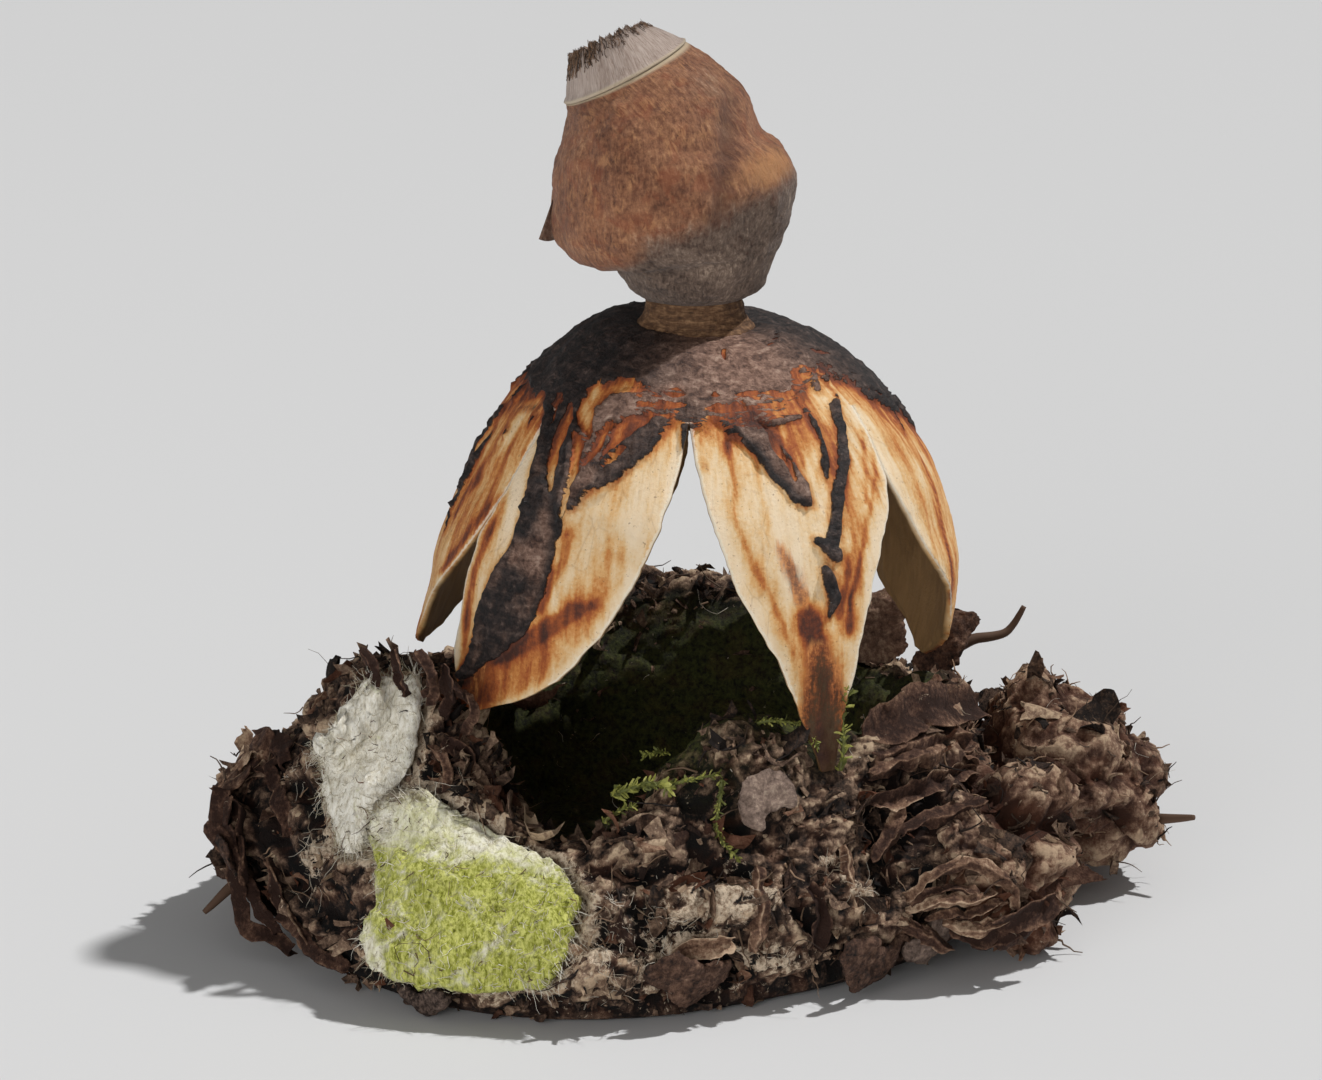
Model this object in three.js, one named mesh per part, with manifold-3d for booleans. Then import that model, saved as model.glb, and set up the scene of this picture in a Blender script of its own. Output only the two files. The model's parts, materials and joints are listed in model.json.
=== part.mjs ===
// An arched earthstar standing on the basket of litter that its threads have bound together.
// The outer skin has split into six rays that bend down and lift the stalked spore sac; the tips of the rays
// stand on the rim of the basket. Units are millimetres, +Z is up, the scene's own camera side is -Y, and the
// exported group has its origin at the middle of the underside.
import * as THREE from "three";
import { mergeVertices } from "three/addons/utils/BufferGeometryUtils.js";
import Module from "manifold-3d";

const wasm = await Module();
wasm.setup();

// Driving dimensions.
const GAP = 0.35; // clearance kept between neighbouring pieces
const SKIN = 1.1; // thickness of the outer skin in the middle of a ray
const SKIN_EDGE = 0.55; // and at its torn edges
const DOME_TOP = 39.8; // height of the arch above the resting plane
const DOME_RISE = 19.8;
const DOME_RADIUS = 17.15;
const DOME_POWER = 2.15; // 2 would be an ellipse; a little more makes the shoulders fuller
const NOTCH_RADIUS = 11.6; // where the rays part from one another
const DISC_DIP = 1.3; // the arch is sunken round the stalk
const DISC_DIP_RADIUS = 3.8;
const SWELL = 0.8; // the arch is fuller at the back left
const SWELL_RADIUS = 6.5;
const SWELL_WIDTH = 3.2;
const SWELL_BEARING = 135;
const STALK_RADIUS = 3.15;
const STALK_FOOT = 3.7;
const SAC_BOTTOM = 40.75;
const TURN = 2 * Math.PI;

const rad = THREE.MathUtils.degToRad;

// ---- curves through a few stations -------------------------------------------------------------------------

// Catmull-Rom value at u in 0..1 through equally spaced values; a closed list runs round to its start.
function spline(values, u, closed = false) {
  const spans = closed ? values.length : values.length - 1;
  const x = closed ? (((u % 1) + 1) % 1) * spans : Math.min(Math.max(u, 0), 1) * spans;
  const i = Math.min(Math.floor(x), spans - 1);
  const f = x - i;
  const at = (k) =>
    closed
      ? values[(k + values.length) % values.length]
      : values[Math.min(Math.max(k, 0), values.length - 1)];
  const [a, b, c, d] = [at(i - 1), at(i), at(i + 1), at(i + 2)];
  return b + 0.5 * f * (c - a + f * (2 * a - 5 * b + 4 * c - d + f * (3 * (b - c) + d - a)));
}

const column = (rows, k) => rows.map((row) => row[k]);

// A point from its bearing in degrees, its distance from the stalk's axis and its height.
function polar(bearing, radius, z) {
  const a = rad(bearing);
  return new THREE.Vector3(radius * Math.cos(a), radius * Math.sin(a), z);
}

// ---- solids --------------------------------------------------------------------------------------------------

function geometryOf(points, triangles) {
  const flat = new Float32Array(points.length * 3);
  points.forEach((p, i) => flat.set([p.x, p.y, p.z], i * 3));
  const g = new THREE.BufferGeometry();
  g.setAttribute("position", new THREE.BufferAttribute(flat, 3));
  g.setIndex(triangles);
  return g;
}

function solidOf(geometry) {
  const bare = geometry.clone();
  bare.deleteAttribute("normal");
  bare.deleteAttribute("uv");
  const merged = mergeVertices(bare, 1e-4);
  const made = new wasm.Manifold(
    new wasm.Mesh({
      numProp: 3,
      vertProperties: merged.attributes.position.array,
      triVerts: new Uint32Array(merged.index.array),
    }),
  );
  return made.volume() < 0 ? solidOf(insideOut(merged)) : made;
}

function insideOut(geometry) {
  const index = Array.from(geometry.index.array);
  for (let i = 0; i < index.length; i += 3) {
    [index[i + 1], index[i + 2]] = [index[i + 2], index[i + 1]];
  }
  geometry.setIndex(index);
  return geometry;
}

function geometryFrom(solid) {
  const m = solid.getMesh();
  const points = [];
  for (let i = 0; i < m.numVert; i++) {
    points.push(new THREE.Vector3().fromArray(m.vertProperties, i * m.numProp));
  }
  const g = geometryOf(points, Array.from(m.triVerts));
  g.computeVertexNormals();
  return g;
}

// The largest single body of a solid, so that a cut leaves no loose splinters.
function largest(solid) {
  return solid.decompose().reduce((a, b) => (a.volume() > b.volume() ? a : b));
}

// Rings of points, each closed on itself, joined into a tube whose two ends are closed by a point.
function loft(rings, startPoint, endPoint) {
  const points = rings.flat();
  const across = rings[0].length;
  const triangles = [];
  for (let i = 0; i + 1 < rings.length; i++) {
    for (let j = 0; j < across; j++) {
      const a = i * across + j;
      const b = i * across + ((j + 1) % across);
      triangles.push(a, b, b + across, a, b + across, a + across);
    }
  }
  const start = points.push(startPoint) - 1;
  const end = points.push(endPoint) - 1;
  const last = (rings.length - 1) * across;
  for (let j = 0; j < across; j++) {
    const k = (j + 1) % across;
    triangles.push(start, k, j, end, last + j, last + k);
  }
  return geometryOf(points, triangles);
}

// ---- the arch and its rays -----------------------------------------------------------------------------------

const NOTCH_HEIGHT = domeHeight(NOTCH_RADIUS);

// Each ray is a row of stations from its notch to its tip: [height, distance from the axis, bearing of its one
// edge, bearing of its other edge].
const RAYS = {
  right: [
    [NOTCH_HEIGHT, NOTCH_RADIUS, -32, 39],
    [31, 14.8, -35, 37.5],
    [26, 16.7, -28, 39],
    [22.5, 17.2, -17, 43],
    [19, 16.8, -10, 40],
    [15.8, 15.8, 11, 17],
  ],
  rear_right: [
    [NOTCH_HEIGHT, NOTCH_RADIUS, 39, 86],
    [31, 15.0, 41.5, 84],
    [26, 16.9, 45, 80],
    [21.5, 17.2, 50, 75],
    [18, 17.0, 56, 70],
    [15.2, 16.8, 61, 65],
  ],
  rear_left: [
    [NOTCH_HEIGHT, NOTCH_RADIUS, 86, 140],
    [31, 15.0, 87, 136],
    [26, 16.9, 88.2, 124],
    [21.5, 17.4, 94, 119],
    [18.5, 17.4, 101, 114.5],
    [15.8, 17.4, 110, 114],
  ],
  left: [
    [NOTCH_HEIGHT, NOTCH_RADIUS, 140, 218],
    [31, 14.2, 143, 215],
    [25.5, 16.7, 148, 204],
    [21.5, 17.7, 146.5, 189],
    [18.6, 18.5, 148.5, 183],
    [17.0, 18.8, 158, 172],
  ],
  front_left: [
    [NOTCH_HEIGHT, NOTCH_RADIUS, 218, 267],
    [31, 15.0, 217, 262.8],
    [26, 16.8, 211, 255.8],
    [21, 17.6, 209, 244.7],
    [18.3, 18.1, 210.5, 233.5],
    [16.4, 18.3, 214, 219],
  ],
  front_right: [
    [NOTCH_HEIGHT, NOTCH_RADIUS, 267, 328],
    [31, 15.0, 271.6, 323],
    [26, 16.9, 277.7, 312],
    [21, 17.5, 286.8, 305.2],
    [17, 17.5, 292.2, 301.2],
    [13.6, 17.5, 296.5, 299.5],
  ],
};
const DOME_RINGS = 6; // from the middle of the dome to the notches
const RAY_STEPS = 12; // from a notch to a tip
const RAY_COLUMNS = 8; // across a ray

// Height of the arch's outer face at a distance from its axis, inside the notches.
function domeHeight(radius, bearing = 0) {
  const share = Math.min(radius / DOME_RADIUS, 1) ** DOME_POWER;
  const arch = DOME_TOP - DOME_RISE + DOME_RISE * (1 - share) ** (1 / DOME_POWER);
  const side = 0.5 + 0.5 * Math.cos(rad(bearing - SWELL_BEARING));
  const swell = SWELL * side * Math.exp(-(((radius - SWELL_RADIUS) / SWELL_WIDTH) ** 2));
  return arch + swell - DISC_DIP * Math.exp(-((radius / DISC_DIP_RADIUS) ** 2));
}

// A point on a ray's outer face: along runs from 0 at the middle of the dome to 1 at its edge, then to 2 at the
// tip; across runs from -1 to 1 between the ray's edges.
function rayPoint(stations, along, across) {
  const side = (across + 1) / 2;
  if (along <= 1) {
    const bearing = THREE.MathUtils.lerp(stations[0][2], stations[0][3], side);
    return polar(bearing, along * NOTCH_RADIUS, domeHeight(along * NOTCH_RADIUS, bearing));
  }
  const s = along - 1;
  const [z, radius, from, to] = [0, 1, 2, 3].map((k) => spline(column(stations, k), s));
  const blend = Math.min(s * 4, 1); // the ray's own stations take over below the dome
  const height = THREE.MathUtils.lerp(domeHeight(radius), z, blend);
  return polar(THREE.MathUtils.lerp(from, to, side), radius, height);
}

function rayNormal(stations, along, across) {
  const e = 0.01;
  const at = Math.max(along, 0.05);
  const down = rayPoint(stations, Math.min(at + e, 2), across).sub(
    rayPoint(stations, Math.min(at + e, 2) - 2 * e, across),
  );
  const over = rayPoint(stations, at, across + e).sub(rayPoint(stations, at, across - e));
  return down.cross(over).normalize();
}

// The whole skin as one closed sheet. grow swells it on every side, for cutting its seat out of a neighbour.
function starSolid(grow = 0) {
  const outer = [];
  const inner = [];
  const triangles = [];
  const add = (p, n, thick) => {
    outer.push(p.clone().addScaledVector(n, grow));
    inner.push(p.clone().addScaledVector(n, -thick - grow));
    return outer.length - 1;
  };
  const quads = []; // index corners on the outer face, turned so that they face out
  const rims = []; // edges of the outer face that have only one face
  const apex = add(new THREE.Vector3(0, 0, domeHeight(0)), new THREE.Vector3(0, 0, 1), SKIN);
  const names = Object.keys(RAYS);
  const domes = []; // domes[ring][column], shared by neighbouring rays
  for (let ring = 1; ring <= DOME_RINGS; ring++) {
    const row = [];
    for (const name of names) {
      for (let c = 0; c < RAY_COLUMNS; c++) {
        const along = ring / DOME_RINGS;
        const across = (2 * c) / RAY_COLUMNS - 1;
        const stations = RAYS[name];
        row.push(add(rayPoint(stations, along, across), rayNormal(stations, along * 0.98, across), SKIN));
      }
    }
    domes.push(row);
  }
  const round = domes[0].length;
  domes[0].forEach((a, i) => triangles.push([apex, a, domes[0][(i + 1) % round]]));
  for (let ring = 0; ring + 1 < DOME_RINGS; ring++) {
    for (let i = 0; i < round; i++) {
      const j = (i + 1) % round;
      quads.push([domes[ring][i], domes[ring + 1][i], domes[ring + 1][j], domes[ring][j]]);
    }
  }
  names.forEach((name, n) => {
    const stations = RAYS[name];
    let above = [];
    for (let c = 0; c <= RAY_COLUMNS; c++) {
      above.push(domes[DOME_RINGS - 1][(n * RAY_COLUMNS + c) % round]);
    }
    for (let r = 1; r <= RAY_STEPS; r++) {
      const along = 1 + r / RAY_STEPS;
      const row = [];
      for (let c = 0; c <= RAY_COLUMNS; c++) {
        const across = (2 * c) / RAY_COLUMNS - 1;
        const taper = Math.max(Math.abs(across) ** 3, (r / RAY_STEPS) ** 4);
        const thick = THREE.MathUtils.lerp(SKIN, SKIN_EDGE, taper);
        row.push(add(rayPoint(stations, along, across), rayNormal(stations, along, across), thick));
      }
      for (let c = 0; c < RAY_COLUMNS; c++) {
        quads.push([above[c], row[c], row[c + 1], above[c + 1]]);
      }
      rims.push([row[0], above[0]], [above[RAY_COLUMNS], row[RAY_COLUMNS]]);
      above = row;
    }
    for (let c = 0; c < RAY_COLUMNS; c++) {
      rims.push([above[c + 1], above[c]]);
    }
  });
  for (const [a, b, c, d] of quads) {
    triangles.push([a, b, c], [a, c, d]);
  }
  const shift = outer.length;
  const faces = [];
  for (const [a, b, c] of triangles) {
    faces.push(a, b, c, shift + a, shift + c, shift + b);
  }
  for (const [a, b] of rims) {
    faces.push(a, b, shift + b, a, shift + b, shift + a);
  }
  return solidOf(geometryOf([...outer, ...inner], faces));
}

// ---- the spore sac -------------------------------------------------------------------------------------------

// Sections from the neck to the mouth's border: [x and height of the left end, x and height of the right end,
// half depth]. The sac leans to the left, and its lower left side hangs as a pouch.
const SAC_SECTIONS = [
  [-3.3, 40.75, 2.9, 40.75, 3.1],
  [-4.1, 41.3, 3.9, 41.4, 4.0],
  [-4.9, 42.2, 4.5, 42.5, 4.9],
  [-5.6, 43.2, 5.2, 43.9, 5.8],
  [-7.3, 43.1, 5.6, 44.8, 6.4],
  [-8.7, 43.9, 6.0, 45.9, 6.9],
  [-9.3, 45.5, 6.35, 47.5, 7.4],
  [-9.35, 47.7, 6.35, 49.0, 7.7],
  [-9.1, 49.8, 5.4, 50.5, 7.5],
  [-8.6, 51.3, 4.1, 51.6, 7.0],
  [-8.35, 52.2, 3.3, 53.3, 6.5],
  [-8.3, 52.7, 2.3, 54.9, 5.8],
  [-8.35, 53.0, 0.7, 56.3, 4.9],
  [-8.4, 53.3, -0.8, 57.2, 4.1],
];
const SAC_STEPS = 24;
const SAC_COLUMNS = 30;
const MOUTH_TOP = [-8.05, 56.2, -3.3, 58.3, 2.6]; // section at the torn lip
const MOUTH_NOD = 0.7; // its front stands higher than its middle
const LIP_DEPTH = 0.8; // hollow inside the lip

function sectionRing([leftX, leftZ, rightX, rightZ, depth], count, shrink = 1, nod = 0) {
  const middle = new THREE.Vector3((leftX + rightX) / 2, 0, (leftZ + rightZ) / 2);
  const half = new THREE.Vector3((rightX - leftX) / 2, 0, (rightZ - leftZ) / 2);
  return Array.from({ length: count }, (_, i) => {
    const a = (TURN * i) / count;
    return middle
      .clone()
      .addScaledVector(half, shrink * Math.cos(a))
      .add(new THREE.Vector3(0, shrink * depth * Math.sin(a), -shrink * nod * Math.sin(a)));
  });
}

const sacSection = (u) => [0, 1, 2, 3, 4].map((k) => spline(column(SAC_SECTIONS, k), u));
const middleOf = ([lx, lz, rx, rz]) => new THREE.Vector3((lx + rx) / 2, 0, (lz + rz) / 2);

function sacSolid() {
  const rings = [];
  for (let i = 0; i <= SAC_STEPS; i++) {
    rings.push(sectionRing(sacSection(i / SAC_STEPS), SAC_COLUMNS));
  }
  return solidOf(loft(rings, middleOf(sacSection(0)), middleOf(sacSection(1))));
}

// The pale cone round the mouth, a low ring whose lip stands round a shallow hollow.
function mouthSolid() {
  const base = sacSection(1);
  const axis = new THREE.Vector3(base[1] - base[3], 0, base[2] - base[0]).normalize();
  const rise = (section, height) => {
    const [lx, lz, rx, rz, d] = section;
    return [lx + axis.x * height, lz + axis.z * height, rx + axis.x * height, rz + axis.z * height, d];
  };
  const foot = rise(base, GAP);
  const bulge = foot.map((v, k) => THREE.MathUtils.lerp(v, MOUTH_TOP[k], 0.5));
  const rings = [
    sectionRing(foot, SAC_COLUMNS, 0.97),
    sectionRing(bulge, SAC_COLUMNS, 1, MOUTH_NOD / 2),
    sectionRing(MOUTH_TOP, SAC_COLUMNS, 1, MOUTH_NOD),
    sectionRing(MOUTH_TOP, SAC_COLUMNS, 0.75, MOUTH_NOD),
    sectionRing(rise(MOUTH_TOP, -LIP_DEPTH), SAC_COLUMNS, 0.45, MOUTH_NOD),
  ];
  return solidOf(loft(rings, middleOf(foot), middleOf(rise(MOUTH_TOP, -LIP_DEPTH * 1.2))));
}

function stalkSolid() {
  const bottom = domeHeight(STALK_FOOT) + GAP;
  const top = SAC_BOTTOM - GAP;
  const middle = (bottom + top) / 2;
  const profile = [
    [0, bottom],
    [STALK_FOOT, bottom],
    [STALK_RADIUS + 0.25, bottom + 0.3],
    [STALK_RADIUS, middle],
    [STALK_RADIUS - 0.1, top - 0.2],
    [STALK_RADIUS - 0.3, top],
    [0, top],
  ];
  return solidOf(new THREE.LatheGeometry(profile.map(([r, z]) => new THREE.Vector2(r, z)), 28).rotateX(Math.PI / 2));
}

// ---- the basket of litter ------------------------------------------------------------------------------------

// Every twenty degrees round the basket, from bearing 0: [radius of the footprint, radius of the belly, height
// of the belly, radius of the rim's crest, height of the crest, radius of the hollow at the rim].
const BASKET = [
  [17, 21.5, 6.0, 16.8, 16.0, 12.8],
  [17, 21.5, 6.0, 17.6, 13.0, 13.3],
  [17.5, 21.5, 6.0, 18.2, 13.6, 14.0],
  [18, 22.0, 6.0, 18.7, 16.0, 14.6],
  [18, 22.0, 6.0, 19.2, 17.4, 15.0],
  [18, 22.0, 6.5, 19.5, 17.2, 15.2],
  [18, 23.0, 7.0, 19.8, 15.8, 15.6],
  [18.5, 24.5, 7.0, 20.3, 14.2, 15.8],
  [20, 27.0, 7.5, 21.2, 14.5, 16.4],
  [22, 28.6, 7.0, 22.0, 16.0, 17.2],
  [24, 29.4, 6.0, 22.2, 17.0, 17.5],
  [25, 28.8, 4.8, 21.6, 16.2, 17.2],
  [24.4, 27.2, 4.4, 20.8, 9.8, 16.8],
  [22, 24.8, 4.4, 18.6, 13.2, 14.6],
  [19, 22.2, 5.4, 15.9, 17.0, 12.3],
  [17.5, 21.4, 6.0, 15.3, 15.3, 11.6],
  [17, 21.4, 6.0, 16.2, 15.4, 12.2],
  [17, 21.4, 6.0, 16.8, 15.6, 12.6],
];
const BASKET_BEARINGS = 54;
const BASKET_STEPS = 14;
const HOLLOW_FLOOR = 4.5;

const LUMP_HEIGHT = 0.45;

// Slow bumps that keep the basket from looking turned.
function lumps(bearing, height) {
  const a = rad(bearing);
  const wave = Math.sin(5 * a + 0.4 * height) + 0.8 * Math.sin(9 * a - 0.7 * height + 1.3);
  return LUMP_HEIGHT * (wave + 0.7 * Math.sin(13 * a + 1.1 * height + 2.1));
}

// A point on the basket's surface: v runs from the middle of its underside, out, up, over the rim and down to
// the middle of the hollow's floor.
function basketPoint(bearing, v) {
  const [foot, belly, bellyZ, crest, crestZ, hollow] = [0, 1, 2, 3, 4, 5].map((k) =>
    spline(column(BASKET, k), bearing / 360, true),
  );
  const under = 0.12 * (belly - foot); // the underside lifts where the basket overhangs
  const outline = [
    [foot * 0.5, 0],
    [foot, 0],
    [THREE.MathUtils.lerp(foot, belly, 0.6), under],
    [belly, bellyZ * 0.55],
    [belly, bellyZ],
    [THREE.MathUtils.lerp(belly, crest, 0.6), THREE.MathUtils.lerp(bellyZ, crestZ, 0.65)],
    [crest, crestZ],
    [THREE.MathUtils.lerp(crest, hollow, 0.7), crestZ - 0.6],
    [hollow - 1, THREE.MathUtils.lerp(HOLLOW_FLOOR, crestZ, 0.6)],
    [hollow - 3, HOLLOW_FLOOR + 1.2],
    [hollow * 0.5, HOLLOW_FLOOR],
  ];
  const radius = spline(column(outline, 0), v);
  const z = spline(column(outline, 1), v);
  const bump = z > 0.6 ? lumps(bearing, z) * Math.min((z - 0.6) / 2, 1) : 0;
  return polar(bearing, radius + bump, z < 0.35 ? 0 : z);
}

function basketNormal(bearing, v) {
  const up = basketPoint(bearing, v + 0.01).sub(basketPoint(bearing, v - 0.01));
  const round = basketPoint(bearing + 1, v).sub(basketPoint(bearing - 1, v));
  return round.cross(up).normalize();
}

function basketSolid() {
  const rings = [];
  for (let i = 0; i <= BASKET_STEPS; i++) {
    rings.push(
      Array.from({ length: BASKET_BEARINGS }, (_, j) =>
        basketPoint((360 * j) / BASKET_BEARINGS, i / BASKET_STEPS),
      ),
    );
  }
  return solidOf(loft(rings, new THREE.Vector3(0, 0, 0), new THREE.Vector3(0, 0, HOLLOW_FLOOR)));
}

// ---- clods and scraps on the basket --------------------------------------------------------------------------

const CLOD_DETAIL = 3; // how finely a clod's round is faceted
const CLOD_BUMPS = [0.09, 0.07]; // share of its half size by which each of two waves moves its surface

// A rounded clod with flat facets: centre, half sizes and a phase that makes each one different.
function clodSolid({ at, half, phase }, grow = 0) {
  const g = new THREE.IcosahedronGeometry(1, CLOD_DETAIL);
  const p = g.attributes.position;
  for (let i = 0; i < p.count; i++) {
    const [x, y, z] = [p.getX(i), p.getY(i), p.getZ(i)];
    const first = CLOD_BUMPS[0] * Math.sin(4 * x + 3 * z + phase);
    const second = CLOD_BUMPS[1] * Math.sin(5 * y - 4 * x + 2 * phase);
    const bump = 1 + first + second;
    p.setXYZ(
      i,
      at[0] + x * (half[0] * bump + grow),
      at[1] + y * (half[1] * bump + grow),
      Math.max(at[2] + z * (half[2] * bump + grow), grow > 0 ? -grow : 0),
    );
  }
  return solidOf(g);
}

// Where a scrap lies and which way its flat face looks: on the basket's surface at a bearing and a place v along
// the basket's outline, or at a point of its own with a face of its own (bearing and elevation).
function seatOf({ bearing, v, lift = 0.2, size, at, facing }) {
  if (at) {
    return [new THREE.Vector3(...at), polar(facing[0], Math.cos(rad(facing[1])), Math.sin(rad(facing[1])))];
  }
  const normal = basketNormal(bearing, v);
  return [basketPoint(bearing, v).addScaledVector(normal, size[2] / 2 + lift), normal];
}

const SCRAP_STATIONS = 8; // along a scrap
const SCRAP_CORNERS = 8; // round its section
const SCRAP_POINT = 0.08; // how blunt its two ends are
const SCRAP_THINNING = 0.4; // share of its thickness lost towards the ends
const SCRAP_SWAY = 0.12; // share of its width by which its middle line wanders

// A thin curved scrap, such as a bark chip or a bit of leaf: a lens-shaped plate, bent along its length.
function scrapSolid(spec, grow = 0) {
  const { size, turn, bend } = spec;
  const [length, width, thick] = size;
  const rings = [];
  for (let i = 0; i <= SCRAP_STATIONS; i++) {
    const s = (2 * i) / SCRAP_STATIONS - 1;
    const w = (width / 2) * Math.sqrt(Math.max(1 - s ** 4, SCRAP_POINT)) + grow;
    const h = (thick / 2) * (1 - SCRAP_THINNING * s * s) + grow;
    const x = s * (length / 2 + grow);
    const y = SCRAP_SWAY * width * Math.sin(4 * s + turn);
    rings.push(
      Array.from({ length: SCRAP_CORNERS }, (_, k) => {
        const a = (TURN * (k + 0.5)) / SCRAP_CORNERS;
        return new THREE.Vector3(x, y + w * Math.cos(a), h * Math.sin(a) - bend * s * s);
      }),
    );
  }
  const ends = [rings[0], rings[SCRAP_STATIONS]].map((ring) =>
    ring.reduce((sum, p) => sum.add(p), new THREE.Vector3()).divideScalar(SCRAP_CORNERS),
  );
  const g = loft(rings, ends[0], ends[1]);
  const [seat, normal] = seatOf(spec);
  const along = new THREE.Vector3(0, 0, 1).cross(normal).normalize().applyAxisAngle(normal, rad(turn));
  const basis = new THREE.Matrix4().makeBasis(along, normal.clone().cross(along), normal);
  return solidOf(g.applyMatrix4(basis.setPosition(seat)));
}

const STRAND_STEPS = 10; // along a strand
const STRAND_SIDES = 6; // round it

// A thin twig, root or shoot along a few points.
function strandSolid({ points, radius, taper = 0.5 }, grow = 0) {
  const curve = new THREE.CatmullRomCurve3(points.map((p) => new THREE.Vector3(...p)));
  const frames = curve.computeFrenetFrames(STRAND_STEPS);
  const rings = [];
  for (let i = 0; i <= STRAND_STEPS; i++) {
    const r = radius * THREE.MathUtils.lerp(1, taper, i / STRAND_STEPS) + grow;
    rings.push(
      Array.from({ length: STRAND_SIDES }, (_, k) => {
        const a = (TURN * k) / STRAND_SIDES;
        return curve
          .getPointAt(i / STRAND_STEPS)
          .addScaledVector(frames.normals[i], r * Math.cos(a))
          .addScaledVector(frames.binormals[i], r * Math.sin(a));
      }),
    );
  }
  return solidOf(loft(rings, curve.getPointAt(0), curve.getPointAt(1)));
}

const FELT_COLUMNS = 10;
const FELT_ROWS = 6;
const FELT_ROUNDING = 0.45; // how far the corners of a patch are drawn in
const FELT_EDGE = 0.55; // thickness left at the margin of a patch, as a share of that in its middle

// A patch of the pale felt that binds the basket, lying on its outer face between two bearings and two places
// along the outline.
function feltSolid({ from, to, low, high, thick }, grow = 0) {
  const outer = [];
  const inner = [];
  for (let i = 0; i <= FELT_ROWS; i++) {
    for (let j = 0; j <= FELT_COLUMNS; j++) {
      const s = (2 * j) / FELT_COLUMNS - 1;
      const t = (2 * i) / FELT_ROWS - 1;
      const spread = 1 + 0.2 * grow;
      const across = 0.5 + 0.5 * spread * s * Math.sqrt(1 - FELT_ROUNDING * t * t);
      const up = 0.5 + 0.5 * spread * t * Math.sqrt(1 - FELT_ROUNDING * s * s);
      const bearing = THREE.MathUtils.lerp(from, to, across);
      const v = THREE.MathUtils.lerp(low, high, up);
      const normal = basketNormal(bearing, v);
      const point = basketPoint(bearing, v);
      const fade = FELT_EDGE + (1 - FELT_EDGE) * (1 - Math.max(s * s, t * t));
      inner.push(point.clone().addScaledVector(normal, GAP - grow));
      outer.push(point.clone().addScaledVector(normal, GAP + thick * fade + grow));
    }
  }
  const wide = FELT_COLUMNS + 1;
  const faces = [];
  const shift = outer.length;
  const quad = (a, b, c, d) => faces.push(a, b, c, a, c, d);
  for (let i = 0; i < FELT_ROWS; i++) {
    for (let j = 0; j < FELT_COLUMNS; j++) {
      const a = i * wide + j;
      quad(a, a + 1, a + wide + 1, a + wide);
      quad(shift + a, shift + a + wide, shift + a + wide + 1, shift + a + 1);
    }
  }
  for (let j = 0; j < FELT_COLUMNS; j++) {
    const top = FELT_ROWS * wide + j;
    quad(j, shift + j, shift + j + 1, j + 1);
    quad(top, top + 1, shift + top + 1, shift + top);
  }
  for (let i = 0; i < FELT_ROWS; i++) {
    const left = i * wide;
    const right = left + FELT_COLUMNS;
    quad(left, left + wide, shift + left + wide, shift + left);
    quad(right, shift + right, shift + right + wide, right + wide);
  }
  return solidOf(geometryOf([...outer, ...inner], faces));
}

const CLODS = {
  clod_far_right: { at: [24.6, 5.8, 6.7], half: [7.3, 8.3, 6.5], phase: 0.4 },
  clod_right: { at: [18.6, -10.0, 6.6], half: [6.9, 6.8, 6.2], phase: 1.9 },
  clod_left: { at: [-25.8, -2.0, 5.7], half: [6.0, 9.0, 5.5], phase: 3.1 },
  clod_left_crest: { at: [-20.6, -8.0, 15.2], half: [4.4, 5.0, 3.7], phase: 4.4 },
  clod_front: { at: [2.2, -15.6, 12.0], half: [5.2, 3.6, 5.0], phase: 5.2 },
  clod_rear: { at: [-2.5, 19.8, 12.9], half: [7.8, 3.7, 4.8], phase: 0.9 },
};

const FELTS = {
  felt_upper: { from: 204, to: 222, low: 0.45, high: 0.63, thick: 0.75 },
  felt_lower: { from: 225, to: 251, low: 0.3, high: 0.56, thick: 0.75 },
};

const SCRAPS = {
  bark_chip_front: { at: [4.0, -20.0, 13.6], facing: [285, 25], size: [4.4, 3.0, 0.9], turn: 40, bend: 0.3 },
  bark_chip_foot: { bearing: 233, v: 0.26, size: [4.0, 1.8, 0.9], turn: 5, bend: 0.1 },
  bark_chip_right: { bearing: 314, v: 0.3, size: [6.0, 3.0, 1.0], turn: 25, bend: 0.5 },
  bark_chip_rear: { bearing: 70, v: 0.42, size: [6.5, 3.6, 1.1], turn: 60, bend: 0.5 },
  leaf_scrap_left: { bearing: 196, v: 0.34, size: [8.0, 4.0, 0.8], turn: 75, bend: 1.0, lift: 0.6 },
  leaf_scrap_front: { bearing: 268, v: 0.33, size: [6.5, 3.4, 0.7], turn: -15, bend: 0.6 },
  leaf_scrap_low_right: { bearing: 300, v: 0.27, size: [7.5, 3.6, 0.8], turn: -20, bend: 0.8 },
  leaf_scrap_rear_left: { bearing: 130, v: 0.38, size: [8.0, 4.4, 0.8], turn: 30, bend: 0.9 },
  leaf_scrap_gap: { at: [12.7, 11.3, 15.3], facing: [250, 10], size: [5.4, 4.2, 0.7], turn: 75, bend: 0.4 },
  leaf_scrap_rear_right: { at: [17.1, 9.8, 14.8], facing: [255, 20], size: [5.6, 3.0, 0.8], turn: 50, bend: 0.5 },
};

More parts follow.
